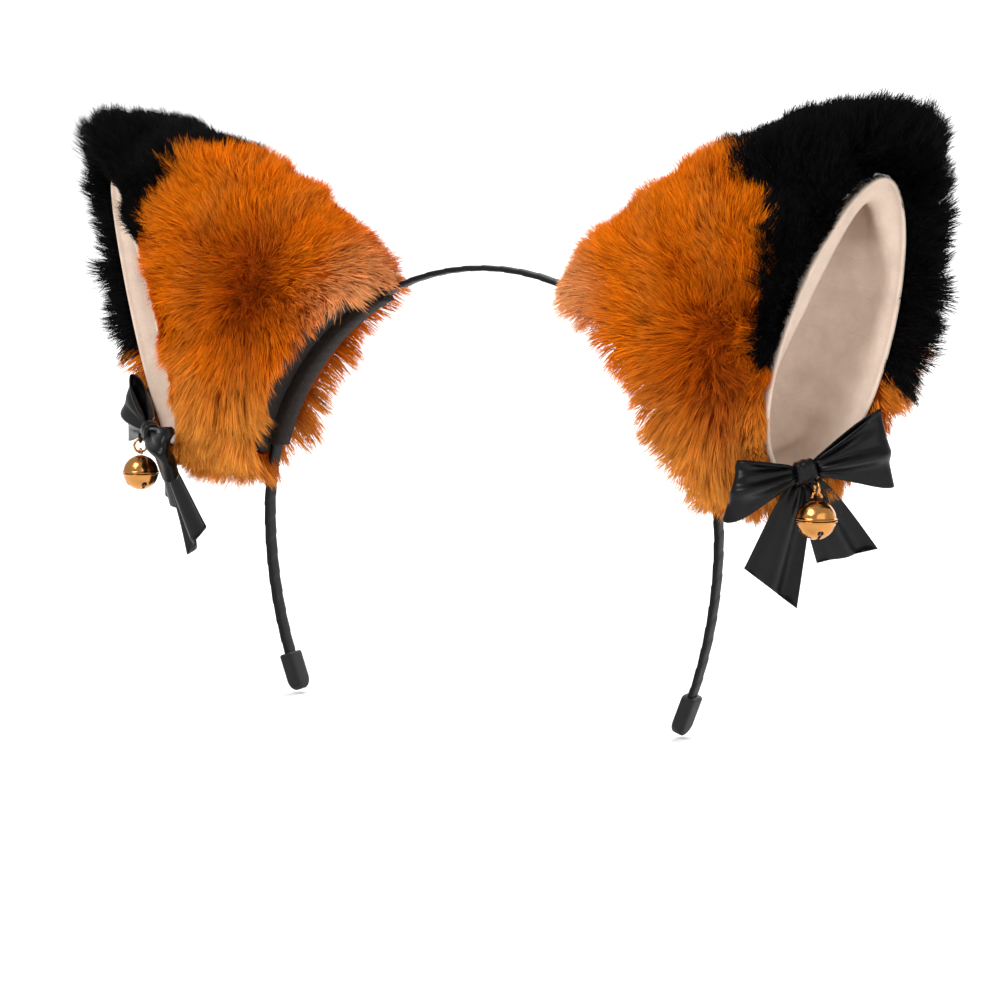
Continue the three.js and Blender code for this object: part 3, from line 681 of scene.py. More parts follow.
def tuft_roots(half, dark, side, count, rng):
    """Angles and shares of tuft roots, spread evenly over the panel's area: cells of a fine
    grid are drawn by their area, and each root is placed at random in its cell."""
    low, high = panel_limits(half, dark, side)
    a, u = np.linspace(low, high, 181), np.linspace(0.0, PILE_END, 141)
    grid = pile_point(a[:, None], u[None, :])
    span_a, span_u = np.diff(grid, axis=0)[:, :-1], np.diff(grid, axis=1)[:-1]
    area = np.linalg.norm(np.cross(span_a, span_u), axis=-1)
    ma, mu = (a[:-1] + a[1:]) / 2, (u[:-1] + u[1:]) / 2
    area = area * in_panel(ma[:, None], mu[None, :], dark, side)
    pick = rng.choice(area.size, size=count, p=area.ravel() / area.sum())
    i, j = np.unravel_index(pick, area.shape)
    ra = a[i] + rng.uniform(size=count) * (a[1] - a[0])
    ru = u[j] + rng.uniform(size=count) * (u[1] - u[0])
    return ra, ru


def pile_frame(a, u, depth):
    """Root positions, outward normals and the two tangents of the pile's layer. The normal
    is taken over a wide step so that it turns gradually over the rim."""
    root = pile_point(a, u, depth)
    du, da = 0.09, 0.05
    up = unit(pile_point(a, np.minimum(u + du, 2)) - pile_point(a, np.maximum(u - du, 0)))
    round_mouth = unit(pile_point(a + da, u) - pile_point(a - da, u))
    normal = unit(np.cross(round_mouth, up))
    middle = pile_point(a, np.full_like(a, 0.6), 0.02)
    flip = np.sign(np.einsum("ij,ij->i", normal, root - middle))
    facing = np.where(u > 1.25, np.sign(normal @ FRONT_AXIS), flip)
    return root, normal * col(np.where(facing == 0, 1, facing)), up, round_mouth


def parting_of(side, half):
    """The place on one half of an ear that its pile runs away from."""
    wa, wu = WHORLS[side, half]
    return pile_point(np.array([wa]), np.array([wu]))[0]


def combing(root, normal, a, u, side, half, dark):
    """Which way strands lean: away from the pile's parting point, over the base at the
    seat, outwards on the rim, and down a little under their weight."""
    away = root - parting_of(side, half)
    reach = np.linalg.norm(away, axis=-1)
    lean = unit(away) * col(np.tanh(reach / 0.014))
    seat = pile_point(a, np.zeros_like(a)) - pile_point(a, np.full_like(a, 0.1))
    lean = mix(lean, unit(seat) * 0.9, col(smooth(0.16, 0.0, u) * 0.8))
    outwards = unit(root - MOUTH_CENTRE - FRONT_AXIS * col((root - MOUTH_CENTRE) @ FRONT_AXIS))
    foot = smooth(radians(205), radians(240), a)
    rim = smooth(0.82, 1.1, u) * (1 - 0.6 * foot)
    lean = mix(lean, outwards * 0.75, col(rim))
    lean = lean * (0.8 if dark else 1.0)
    droop = 0.10 if dark else 0.32
    lean = lean + np.array([0, 0, -droop]) * col(smooth(0.03, -0.03, root[:, 2]) + 0.15)
    lean = lean + ripple(root, 7 if dark else 5, 0.013, 0.3 if dark else 0.34)
    lean = lean + ripple(root, 11, 0.005, 0.16)
    return lean - normal * col(np.einsum("ij,ij->i", lean, normal))


def along_tail(tail):
    """The direction in which one tail of the bow runs, in the plane of the bow."""
    return BOW_LEVEL * cos(tail["slant"]) + np.array([0, 0, sin(tail["slant"])])


def distance_to(points, way, start, stop):
    """How far points are from a straight line through the knot, between two distances."""
    along = np.clip((points - BOW_AT) @ way, start, stop)
    return np.linalg.norm(points - BOW_AT - way * col(along), axis=-1)


def pile_length(root, a, u, dark, fur):
    """How long strands are: on the orange fur, short high up and long low down, shorter on
    the ridge beside the band, and shorter again towards the mouth and behind the bow's
    loops, its outer tail and the bell."""
    front = smooth(radians(100), radians(135), a) * smooth(radians(262), radians(235), a)
    to_lip = (1 - 0.5 * smooth(1.25, 1.95, u)) * (1 - 0.42 * front * smooth(0.78, 1.05, u))
    if dark:
        return fur.dark_length * to_lip * (1 + 0.3 * smooth(0.75, 1.0, u) * smooth(1.5, 1.1, u))
    high = mix(0.62, 1.0, smooth(0.0, -0.045, root[:, 2]))
    to_bell = np.linalg.norm(root - pendant_point(0.0, 0.0, BELL_MIDDLE), axis=-1)
    inner, outer, tail = LOOPS["inner"]["length"], LOOPS["outer"]["length"], TAILS["outer"]
    to_loops = distance_to(root, BOW_SPAN, -inner, outer)
    to_tail = distance_to(root, along_tail(tail), 0.0, tail["length"])
    clear = np.minimum(smooth(0.011, 0.021, to_bell), smooth(0.010, 0.018, to_loops))
    high = high * mix(0.42, 1.0, np.minimum(clear, smooth(0.011, 0.020, to_tail)))
    ridge = np.exp(-(((a - pi / 2) / 0.5) ** 2)) * smooth(0.45, 0.05, u)
    return fur.bright_length * high * (1 - 0.3 * ridge) * to_lip


def strand_mesh(root, first, second, width, side_way):
    """Strands as flat tapering ribbons along a quadratic curve root, first, second: three
    steps of two points each and one point at the tip. Returns points, quads and tris."""
    count = len(root)
    t = STRAND_STEPS[None, :, None]
    line = (1 - t) ** 2 * root[:, None] + 2 * t * (1 - t) * first[:, None]
    line = line + t * t * second[:, None]
    taper = np.array([0.7, 1.0, 0.72])[None, :, None]
    half = side_way[:, None] * col(width)[:, None] * taper / 2
    edge = np.stack([line[:, :3] - half, line[:, :3] + half], 2).reshape(count, 6, 3)
    points = np.concatenate([edge, line[:, 3:]], 1)
    base = np.arange(count)[:, None] * STRAND_POINTS
    quads = np.concatenate([base + [[0, 1, 3, 2]], base + [[2, 3, 5, 4]]], 1).reshape(-1, 4)
    tris = (base + [[4, 5, 6]]).reshape(-1, 3)
    return points, quads, tris


def grow_pile(name, side, half, dark, count, fur, material, seed):
    """One panel's strands. Each tuft has a root, a lean and a length, its strands start
    around it, and their tips are drawn together."""
    rng = np.random.default_rng(seed)
    tufts = max(1, count // fur.tuft)
    a, u = tuft_roots(half, dark, side, tufts, rng)
    a = np.clip(a + rng.normal(size=tufts) * 0.02, *panel_limits(half, dark, side))
    u = np.clip(u + rng.normal(size=tufts) * 0.014, 0, PILE_END)
    depth = fur.root_depth * (1 - 0.7 * smooth(1.4, 1.97, u))
    root, normal, up, round_mouth = pile_frame(a, u, depth)
    stray = unit(np.cross(normal, rng.normal(size=root.shape)))
    stray = stray * col(rng.normal(size=tufts) * 0.22)
    lean = combing(root, normal, a, u, side, half, dark) + stray
    shortest = 0.72 if dark else 0.80
    length = pile_length(root, a, u, dark, fur) * rng.uniform(shortest, 1.14, tufts)
    length *= 1 + np.clip(ripple(root, 17, 0.017, 0.13)[:, 0], -0.22, 0.2)
    which = np.repeat(np.arange(tufts), fur.tuft)
    total = len(which)
    spread = rng.normal(size=(total, 2)) * 0.0009
    start = root[which] + up[which] * spread[:, :1] + round_mouth[which] * spread[:, 1:]
    own_normal = unit(normal[which] + rng.normal(size=(total, 3)) * 0.10)
    own_lean = lean[which] + rng.normal(size=(total, 3)) * 0.13
    own_length = length[which] * rng.uniform(0.72, 1.1, total)
    first = start + unit(own_normal + 0.5 * own_lean) * col(own_length * 0.48)
    second = first + unit(0.42 * own_normal + own_lean) * col(own_length * 0.55)
    tuft_first = root + unit(normal + 0.5 * lean) * col(length * 0.48)
    tuft_tip = tuft_first + unit(0.42 * normal + lean) * col(length * 0.55)
    gather = np.ones(total) if dark else mix(0.5, 1.15, smooth(0.0, -0.03, root[which, 2]))
    clump = fur.clumping * rng.uniform(0.55, 1.1, (total, 1)) * col(gather)
    clump = np.minimum(clump, 0.9)
    first = mix(first, tuft_first[which], 0.35 * clump)
    second = mix(second, tuft_tip[which], clump)
    facing = unit(own_normal + rng.normal(size=(total, 3)) * 0.55)
    side_way = unit(np.cross(second - start, facing))
    width = fur.strand_width * rng.uniform(0.7, 1.25, total)
    points, quads, tris = strand_mesh(start, first, second, width, side_way)
    points = on_side(points, side)
    if SIDES[side] < 0:
        quads, tris = quads[:, ::-1], tris[:, ::-1]
    pile = new_piece(name, points.reshape(-1, 3), quads, tris, material)
    parting = parting_of(side, half)
    put_strand_attributes(pile, rng, fur.tuft, root[which], a[which], u[which], parting)
    put_bake_map(pile, total)
    return pile


def put_strand_attributes(pile, rng, tuft, root, a, u, parting):
    """Per vertex: the share along its strand, the strand's own tone, how low it grows, how
    pale it is at the crown end and how deep its colour is near the parting."""
    total = len(root)
    along = np.tile(np.repeat(STRAND_STEPS, 2)[:STRAND_POINTS], total)
    shared = np.repeat(rng.normal(size=total // tuft), tuft)
    tone = np.clip(0.5 + 0.15 * rng.normal(size=total) + 0.14 * shared, 0, 1)
    near = np.linalg.norm((root - parting) * np.array([1, 1, 0.8]), axis=-1)
    wisp = ripple(root, 3, 0.016, 0.35)[:, 0]
    deep = np.clip(smooth(0.026, 0.004, near) * 0.75 + wisp * 0.25, 0, 1)
    low = np.clip(smooth(-0.018, -0.048, root[:, 2]) * 1.1 + wisp * 0.4, 0, 1)
    crown_end = smooth(radians(58), radians(20), np.abs(a - radians(112)))
    pale = 0.8 * smooth(0.28, 0.04, u) * crown_end
    put_attribute(pile, "along", along)
    for name, values in (("tone", tone), ("low", low), ("pale", pale), ("deep", deep)):
        put_attribute(pile, name, np.repeat(values, STRAND_POINTS))


def put_bake_map(pile, total):
    """A UV map that gives each strand its own cell of a square grid, its length upwards."""
    cells = int(np.ceil(np.sqrt(total)))
    strand = np.arange(total)
    column, row = strand % cells, strand // cells
    across = np.array([0.12, 0.88, 0.12, 0.88, 0.12, 0.88, 0.5])
    upward = np.array([0.1, 0.1, 0.42, 0.42, 0.7, 0.7, 0.92])
    uv = np.stack([column[:, None] + across, row[:, None] + upward], -1).reshape(-1, 2) / cells
    corners = np.empty(len(pile.data.loops), np.int32)
    pile.data.loops.foreach_get("vertex_index", corners)
    layer = pile.data.uv_layers.new(name="OFBake")
    layer.uv.foreach_set("vector", uv[corners].astype(np.float32).ravel())


def sew_backing(name, side, half, dark, material):
    """The knitted cloth that a panel's pile stands on: a closed sheet between two layers of
    the skin, its sections running from the seat, or the change of colour, to the lip."""
    low, high = panel_limits(half, dark, side)
    inset = radians(4.0) if dark else 0.0
    low = low + (inset if half == "back" else 0.0)
    high = high - (inset if half == "front" else 0.0)
    a = np.linspace(low, high, 61)
    change = colour_change(a, side)
    beyond = np.where(a > pi / 2, a > FRONT_COLOUR_END[side], a < BACK_COLOUR_END)
    start = change + 0.006 if dark else 0 * a + 0.012
    stop = np.where(beyond, 1.98, change - 0.006) if not dark else 0 * a + 1.98
    t = np.linspace(0, 1, 28)
    u = mix(start[:, None], stop[:, None], t[None, :])
    outer = pile_point(a[:, None], u, 0.0040)
    inner = pile_point(a[:, None], u[:, ::-1], 0.0060)
    ring = np.concatenate([outer, inner], 1)
    piece = lofted(name, on_side(ring, side), material)
    plain = {"along": 0.1, "tone": 0.4, "low": 0.0, "pale": 0.0, "deep": 0.4}
    for label, value in plain.items():
        put_attribute(piece, label, np.full(len(piece.data.vertices), value))
    return piece


class EARS_OT_fur(bpy.types.Operator):
    """Sews the fur panels of both ears and grows their pile"""

    bl_idname = "ears.fur"
    bl_label = "Fur"

    def execute(self, context):
        fur = context.scene.ears_fur
        black, tip = fur.black, fur.black_tip
        materials = {
            "orange": fur_material(
                "Orange fur", fur.root, fur.middle, fur.tip, fur.gold, fur.rust, fur.peach, 0.03
            ),
            "black": fur_material("Black fur", black, black, tip, tip, black, tip, 0.04),
        }
        counts = {"front": fur.front_count, "back": fur.back_count}
        thin = 1
        panels = [(side, half, tint) for side in SIDES for half in counts for tint in materials]
        for seed, (side, half, tint) in enumerate(panels, 20):
            dark = tint == "black"
            count = (fur.dark_count if dark else counts[half]) // thin
            stem, material = f"{side}_{half}_{tint}", materials[tint]
            backing = sew_backing(f"{stem}_backing", side, half, dark, material)
            fit(backing, "headband", f"{side}_ear_{half}_{tint}_fur")
            pile = grow_pile(f"{stem}_pile", side, half, dark, count, fur, material, seed)
            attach(pile, "headband")
        return {"FINISHED"}


# ------------------------------------------------------------------ lining, filling and felt


EDGE_TURN = 0.0038


def line_cup(side, cloth, material):
    """The fleece lining: the cup's surface with soft creases, rolled over a lip, and back
    behind it, as one closed shell. Its edge is turned inwards most at the upper front, and its
    vertices carry painted shade below the lip and along one crease."""
    a = np.linspace(0, 2 * pi, 145)[:-1]
    share = np.linspace(0.985, 0.0, 44)
    upper_front = smooth(radians(20), radians(70), a) * smooth(radians(215), radians(170), a)
    edge = smooth(0.0, 0.07, share)[:, None] * (EDGE_TURN * upper_front + 0.0006)[None, :]
    seen = cup_point(a[None, :], share[:, None])
    inwards = unit(mouth_point(a, -0.001) - mouth_point(a))
    seen = seen + inwards[None] * col(edge * (1 - smooth(0.10, 0.30, share))[:, None])
    crease = ripple(seen, 31, 0.03, cloth.wrinkle) + ripple(seen, 37, 0.013, 0.35 * cloth.wrinkle)
    # one crease: it dents the cup and is also painted as shade below
    crease_and_painted_shade = np.exp(-(((share[:, None] - 0.42 - 0.05 * np.sin(a)) / 0.05) ** 2))
    crease_and_painted_shade = crease_and_painted_shade * np.exp(-(((a - radians(285)) / 0.5) ** 2))
    seen = seen + crease * col(smooth(0.0, 0.25, share))[:, None] + INWARD * col(crease_and_painted_shade * 0.0012)
    turn = np.linspace(0, pi, 9)[1:-1]
    front = smooth(radians(80), radians(130), a) * smooth(radians(230), radians(190), a)
    bulge = cloth.lip_radius * (1.2 + 0.7 * front)
    middle = mouth_point(a, LINING_THICKNESS / 2)
    outwards = unit(mouth_point(a, 0.001) - mouth_point(a))
    lip = (
        middle[None]
        - outwards[None] * col(np.cos(turn))[:, None] * LINING_THICKNESS / 2
        + FRONT_AXIS * col(np.sin(turn)[:, None] * bulge[None, :])
    )
    behind = cup_point(a[None, :], share[::-1, None], LINING_THICKNESS)
    rings = np.concatenate([seen, lip, behind[1:]], 0)
    piece = lofted(f"{side}_lining_fleece", on_side(rings, side), material)
    # painted shade on the fleece: a band below the lip, strongest under the upper front, and half
    # as much along the crease
    step = smooth(0.08, 0.17, share) * smooth(0.66, 0.2, share)
    shade = step[:, None] * (0.15 + 0.85 * upper_front)[None, :] + 0.5 * crease_and_painted_shade
    unshaded = np.zeros(len(piece.data.vertices) - shade.size)
    put_attribute(piece, "crease_and_painted_shade", np.concatenate([np.clip(shade, 0, 1).ravel(), unshaded]))
    return piece


def fill_ear(side, material):
    """Loose filling: a lumpy closed body between the fur's cloth, the felt and the cup."""
    a = np.linspace(0, 2 * pi, 73)[:-1]
    inset = FUR_THICKNESS + 0.001
    radius = FUR_SEAT + 0.0026
    floor = [seat_point(a, inset, radius, s) for s in (0.05, 0.35, 0.7)]
    wall = [skin_point(a, np.full_like(a, s), inset) for s in np.linspace(0.1, 0.72, 12)]
    cup = [cup_point(a, np.full_like(a, s), 0.0032) for s in (0.36, 0.5, 0.64, 0.78, 0.92)]
    rings = np.stack(floor + wall + cup)
    lumps = ripple(rings, 51, 0.014, 0.0003)
    return lofted(f"{side}_stuffing", on_side(rings + lumps, side), material)


def cut_felt(side, material):
    """The felt sole: the seat's oval as a thin closed sheet with a rounded edge."""
    a = np.linspace(0, 2 * pi, 97)[:-1]
    inset = FUR_THICKNESS + 0.0006
    low, high = FUR_SEAT, FUR_SEAT + 0.0015
    shares = np.array([0.03, 0.25, 0.5, 0.75, 0.93, 0.985])
    under = [seat_point(a, inset, low, s) for s in shares]
    edge = [seat_point(a, inset, low + 0.0004, 1.0), seat_point(a, inset, high - 0.0004, 1.0)]
    over = [seat_point(a, inset, high, s) for s in shares[::-1]]
    rings = np.stack(under + edge + over)
    return lofted(f"{side}_base_sole", on_side(rings, side), material)


def sew_sleeve(side, material):
    """The cloth channel under the ear: a U-shaped outline carried along the band, with a
    slight pucker at each stitch."""
    half = 0.032 / BAND_OUTSIDE
    cloth = 0.0012
    inner = WRAP_WIDTH / 2 + 0.0003
    outer = inner + cloth
    top, floor = BAND_OUTSIDE, HEAD_RADIUS - 0.0003
    under, corner = floor - cloth, cloth / 2
    right = np.array([
        [0, under], [outer - corner, under], [outer, floor - corner], [outer, top - cloth],
        [outer, top], [inner, top], [inner, top - cloth], [inner, floor], [0, floor],
    ])
    outline = np.concatenate([right, right[-2:0:-1] * [-1, 1]])
    angle = np.linspace(BASE_MIDDLE - half, BASE_MIDDLE + half, 97)[:, None]
    pucker = 1 + 0.00018 * np.abs(np.sin(angle * 60)) / HEAD_RADIUS
    y, radius = outline[None, :, 0] + 0 * angle, outline[None, :, 1]
    radius = np.where(radius < floor, radius * pucker, radius)
    rings = np.stack([radius * np.sin(angle), y, CROWN_Z + radius * np.cos(angle)], -1)
    return lofted(f"{side}_band_channel", on_side(rings, side), material)


class EARS_OT_lining(bpy.types.Operator):
    """Makes each ear's fleece lining, filling, felt sole and band channel"""

    bl_idname = "ears.lining"
    bl_label = "Lining, filling and felt"

    def execute(self, context):
        cloth = context.scene.ears_cloth
        fleece = fleece_material(cloth.fleece)
        felt = cloth_material("Felt", cloth.felt, 700.0)
        filling = cloth_material("Filling", cloth.filling, 260.0)
        for side in SIDES:
            stuffing = fill_ear(side, filling)
            fit(stuffing, "headband", f"{side}_ear_filling")
            lining = line_cup(side, cloth, fleece)
            fit(lining, "headband", f"{side}_ear_lining")
            fit(cut_felt(side, felt), "headband", f"{side}_ear_base_felt")
            fit(sew_sleeve(side, felt), "headband", f"{side}_ear_band_sleeve")
        return {"FINISHED"}


# ------------------------------------------------------------------ band


def band_line():
    """Points, outward directions and running directions along the whole band: an arc round
    the crown, then on each side a wider arc that tucks in. Also the distance from the crown."""
    arm_radius = (ARM_DROP**2 + ARM_TUCK**2) / (2 * ARM_TUCK)
    arm_angle = asin(ARM_DROP / arm_radius)
    crown_length = HEAD_RADIUS * pi / 2
    half = crown_length + arm_radius * arm_angle
    s = np.linspace(-half, half, int(2 * half / 0.0006) | 1)
    d = np.abs(s)
    turn = np.minimum(d, crown_length) / HEAD_RADIUS
    past = np.maximum(d - crown_length, 0) / arm_radius
    crown_out = np.stack([np.sin(turn), 0 * turn, np.cos(turn)], -1)
    arm_out = np.stack([np.cos(past), 0 * past, -np.sin(past)], -1)
    arm_centre = np.array([HEAD_RADIUS - arm_radius, 0, CROWN_Z])
    out = np.where(col(past) > 0, arm_out, crown_out)
    on_arm = arm_centre + arm_out * arm_radius
    at = np.where(col(past) > 0, on_arm, CROWN_CENTRE + crown_out * HEAD_RADIUS)
    way = np.stack([np.where(s < 0, -1.0, 1.0), np.ones_like(s), np.ones_like(s)], -1)
    at, out = at * way, out * way
    along = unit(np.gradient(at, axis=0))
    return at, out, along, s


class EARS_OT_band(bpy.types.Operator):
    """Winds the ribbon on the band and moulds the rubber tips"""

    bl_idname = "ears.band"
    bl_label = "Band"

    def execute(self, context):
        band = context.scene.ears_band
        at, out, along, s = band_line()
        y = np.cross(along, out)
        outline = rounded_outline(1.0, 1.0, 24, 0.6)
        ring_angle = np.arctan2(outline[:, 1], outline[:, 0])
        phase = (s[:, None] / band.pitch + ring_angle[None, :] / (2 * pi)) % 1.0
        raised = smooth(0.0, 0.12, phase) * (1 - 0.75 * phase) * band.ridge
        wide = (WRAP_WIDTH - 0.0002) * outline[None, :, 0] * (1 + 2 * raised / WRAP_WIDTH)
        high = (WRAP_THICKNESS - 0.00015) * outline[None, :, 1] * (1 + 2 * raised / WRAP_THICKNESS)
        middle = at + out * (WRAP_THICKNESS / 2)
        rings = swept(middle, y, out, np.stack([wide, high], -1))
        wrap = lofted("band_ribbon", rings, ribbon_wrap_material(band.wrap))
        fit(wrap, "headband", "band_wrap")
        rubber = rubber_material(band.tip)
        for side in SIDES:
            fit(mould_tip(side, rubber), "headband", f"band_{side}_tip")
        steel = steel_material()
        for name in ("band_spring", *(f"{side}_ear_shaping_wire" for side in SIDES)):
            clothe(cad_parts[name], steel)
        return {"FINISHED"}


def mould_tip(side, material):
    """A rounded rubber cap on the end of an arm: a rounded rectangle carried along the
    arm's last stretch, shrinking as a quarter ellipse over its end."""
    at, out, along, s = band_line()
    end = np.searchsorted(s, s[-1] - 0.004)
    middle, up, run = at[end], out[end], along[end]
    centre = middle + up * (WRAP_THICKNESS / 2)
    wall = 0.0003 + 0.0011
    width = WRAP_WIDTH + 2 * wall
    depth = WRAP_THICKNESS + 2 * wall
    t = np.linspace(0, 1, 40)
    place = mix(-0.004, 0.008, t)
    close = np.sqrt(np.clip(1 - (np.clip(place - 0.0045, 0, None) / 0.0036) ** 2, 0, 1))
    mouth = mix(0.9, 1.0, smooth(0, 0.05, t))
    outline = rounded_outline(1.0, 1.0, 28, 0.45)
    close = np.maximum(close, 0.04)
    wide = width * close * mouth
    deep = depth * (0.55 + 0.45 * close) * mouth
    section = np.stack([wide[:, None] * outline[:, 0], deep[:, None] * outline[:, 1]], -1)
    rings = swept(centre + run * col(place), np.cross(run, up)[None], up[None], section)
    return lofted(f"band_{side}_cap", on_side(rings, side), material)


# ------------------------------------------------------------------ bow


BOW_OUT = np.array([sin(MOUTH_FACING), -cos(MOUTH_FACING), 0.0])
BOW_LEVEL = np.array([cos(MOUTH_FACING), sin(MOUTH_FACING), 0.0])
BOW_SPAN = BOW_LEVEL * cos(BOW_TILT) + np.array([0, 0, sin(BOW_TILT)])
BOW_UP = np.cross(BOW_OUT, BOW_SPAN)
BOW_AT = mouth_point(np.array(-pi / 2), -BOW_RAISE, BOW_LIFT)
LOOPS = {
    "outer": {"way": 1, "length": 0.0235, "height": 0.022, "slant": radians(-4)},
    "inner": {"way": -1, "length": 0.021, "height": 0.017, "slant": radians(-26)},
}
TAILS = {
    "outer": {"slant": radians(-57), "length": 0.030, "behind": 0.0026, "cut": 0.0030},
    "inner": {"slant": radians(-99), "length": 0.0345, "behind": 0.0018, "cut": 0.0044},
}
TAIL_WIDTH = 0.0165
TAIL_LEAN = 0.32
SATIN = 0.0005


def turned(v, axis, angle):
    """A vector turned about a unit axis by angles."""
    c, s = col(np.cos(angle)), col(np.sin(angle))
    return v * c + np.cross(axis, v) * s + axis * (axis @ v) * (1 - c)


def ribbon_solid(name, side, line, wide, normal, width, ripples, material):
    """A ribbon as a closed solid: lines across its width, pushed off its face by ripples,
    with a thin thickness and both faces joined round its edges."""
    across = np.linspace(-1, 1, ripples.shape[1])
    face = line[:, None] + wide[:, None] * (col(width)[:, None] * across[None, :, None] / 2)
    face = face + normal[:, None] * col(ripples)
    step = np.gradient(face, axis=0)
    span = np.gradient(face, axis=1)
    thick = unit(np.cross(span, step))
    sign = np.sign(np.einsum("ijk,ik->ij", thick, normal))
    thick = thick * col(np.where(sign == 0, 1, sign)) * SATIN / 2
    ring = np.concatenate([face - thick, (face + thick)[:, ::-1]], 1)
    return lofted(name, on_side(ring, side), material)


def tie_loop(name, side, loop, material):
    """One loop: a ribbon that leaves the knot, opens to its full width, folds round its end
    and comes back, with pleats that fan out from the pinch at the knot."""
    turn = np.linspace(0, pi, 97)
    opened = np.sin(turn) ** 0.8
    puff = 0.0075 * (0.16 + 0.84 * np.sin(turn) ** 0.6) * np.cos(turn)
    reach = mix(0.0031, loop["length"], opened)
    line = BOW_AT + BOW_SPAN * col(loop["way"] * reach) + BOW_OUT * col(puff / 2)
    wide = turned(BOW_UP, BOW_OUT, loop["slant"] * opened)
    outwards = np.cross(wide, BOW_OUT)
    normal = unit(BOW_OUT * col(np.cos(turn)) + outwards * col(loop["way"] * np.sin(turn)))
    width = mix(0.0046, loop["height"], opened)
    across = np.linspace(-1, 1, 41)
    pleat = np.cos(across * pi * 1.5 + 0.4) + 0.5 * np.cos(across * pi * 3.2 + 1.3)
    fan = (np.sin(turn) ** 0.5) * (1 - 0.55 * opened)
    ripples = 0.0034 * fan[:, None] * pleat[None, :] * np.cos(turn)[:, None]
    slump = 0.0016 * opened[:, None] * np.cos(across * pi * 0.9 - 0.5)[None, :]
    ripples = ripples + slump * np.sin(turn * 2)[:, None]
    return ribbon_solid(name, side, line, wide, normal, width, ripples, material)


def tie_tail(name, side, tail, material):
    """One tail: a ribbon that hangs from under the knot, widening to a slanted cut, with
    two soft pleats."""
    run = along_tail(tail)
    wide = np.cross(BOW_OUT, run)
    start = 0.00445
    share = np.linspace(0, 1, 49)
    across = np.linspace(-1, 1, 31)
    reach = mix(start, tail["length"], share)
    line = BOW_AT + run * col(reach) - BOW_OUT * col(tail["behind"] + TAIL_LEAN * (reach - start))
    width = mix(0.0046, TAIL_WIDTH, share**0.55)
    face = line[:, None] + wide * col(width[:, None] * across[None, :] / 2)
    face = face + run * col(tail["cut"] * share[:, None] ** 3 * across[None, :])
    pleat = np.cos(across * pi * 1.5 + 0.5)[None, :] * (0.0011 + 0.0010 * share[:, None])
    bulge = np.sin(share * pi * 0.9)[:, None] * 0.001 * (1 - across[None, :] ** 2)
    push = pleat * 0.7 + bulge
    face = face + BOW_OUT * col(push - push.max(axis=1, keepdims=True))
    thick = BOW_OUT * SATIN / 2
    ring = np.concatenate([face - thick, (face + thick)[:, ::-1]], 1)
    return lofted(name, on_side(ring, side), material)


def tie_knot(name, side, material):
    """The knot: a ribbon pulled round the middle, as a squared-off ring that is fuller in
    its middle and has two shallow folds running round it."""
    share = np.linspace(-1, 1, 33)
    turn = np.linspace(0, 2 * pi, 65)[:-1]
    full = (1 - 0.10 * share**2) * np.sqrt(np.clip(1 - (np.abs(share) ** 9) * 0.75, 0, 1))
    pleat = 1 + 0.035 * np.cos(share * pi * 2.6)[:, None] * (0.6 + 0.4 * np.cos(turn)[None, :])
    c, s = np.cos(turn), np.sin(turn)
    up = np.sign(c) * np.abs(c) ** 0.75 * 0.0065 / 2
    out = np.sign(s) * np.abs(s) ** 0.75 * 0.0054 / 2
    size = full[:, None] * pleat
    rings = (
        BOW_AT
        + BOW_SPAN * col(share * 0.003)[:, None]
        + BOW_UP * col(size * up)
        + BOW_OUT * col(size * out)
    )
    return lofted(name, on_side(rings, side), material)


class EARS_OT_bow(bpy.types.Operator):
    """Ties the satin bows"""

    bl_idname = "ears.bow"
    bl_label = "Bows"

    def execute(self, context):
        satin = satin_material(context.scene.ears_cloth.satin)
        for side in SIDES:
            knot = tie_knot(f"{side}_bow_knot_ribbon", side, satin)
            fit(knot, "headband", f"{side}_bow_knot")
            for which, loop in LOOPS.items():
                ribbon = tie_loop(f"{side}_bow_{which}_loop_ribbon", side, loop, satin)
                fit(ribbon, "headband", f"{side}_bow_{which}_loop")
            for which, tail in TAILS.items():
                ribbon = tie_tail(f"{side}_bow_{which}_tail_ribbon", side, tail, satin)
                fit(ribbon, "headband", f"{side}_bow_{which}_tail")
        return {"FINISHED"}


# ------------------------------------------------------------------ bell


STITCH_FOOT = BOW_AT + BOW_OUT * 0.0024 + BOW_LEVEL * 0.0026 + np.array([0, 0, -0.0034])
HOOK = 0.0009
RING_FOOT = HOOK - 2 * RING_RADIUS
STAPLE_TOP = RING_FOOT + 2 * RING_WIRE + 0.00015
STAPLE_FOOT = STAPLE_TOP - 0.0013 - 0.0003
BELL_MIDDLE = STAPLE_FOOT - 0.0003 - BELL_RADIUS
AWAY = np.array([-sin(MOUTH_FACING), cos(MOUTH_FACING), 0.0])
UPRIGHT = np.array([0.0, 0.0, 1.0])
SHELL_WALL = 0.0004
SEAM_REACH = 0.00035
SEAM_ROLL = 0.00017
SLIT_ANGLE = radians(52)


def pendant_point(x, y, z):
    """A point in the pendant's own axes: level across the bow, away from its face, up."""
    return STITCH_FOOT + BOW_LEVEL * col(x) + AWAY * col(y) + UPRIGHT * col(z)


def hoop_rings(radius, wire, leg, bend, height):
    """A round wire bent into a U: a half circle with a straight leg at each end."""
    arc = np.linspace(0, pi, 25)
    x = np.concatenate([[-radius], -radius * np.cos(arc), [radius]])
    z = np.concatenate([[-bend * leg], bend * radius * np.sin(arc), [-bend * leg]]) + height
    side_x = np.concatenate([[-1.0], -np.cos(arc), [1.0]])
    side_z = np.concatenate([[0.0], bend * np.sin(arc), [0.0]])
    t = np.linspace(0, 2 * pi, 15)[:-1]
    px = x[:, None] + wire * np.cos(t) * side_x[:, None]
    pz = z[:, None] + wire * np.cos(t) * side_z[:, None]
    py = wire * np.sin(t)[None, :] + 0 * px
    return pendant_point(px, py, pz)


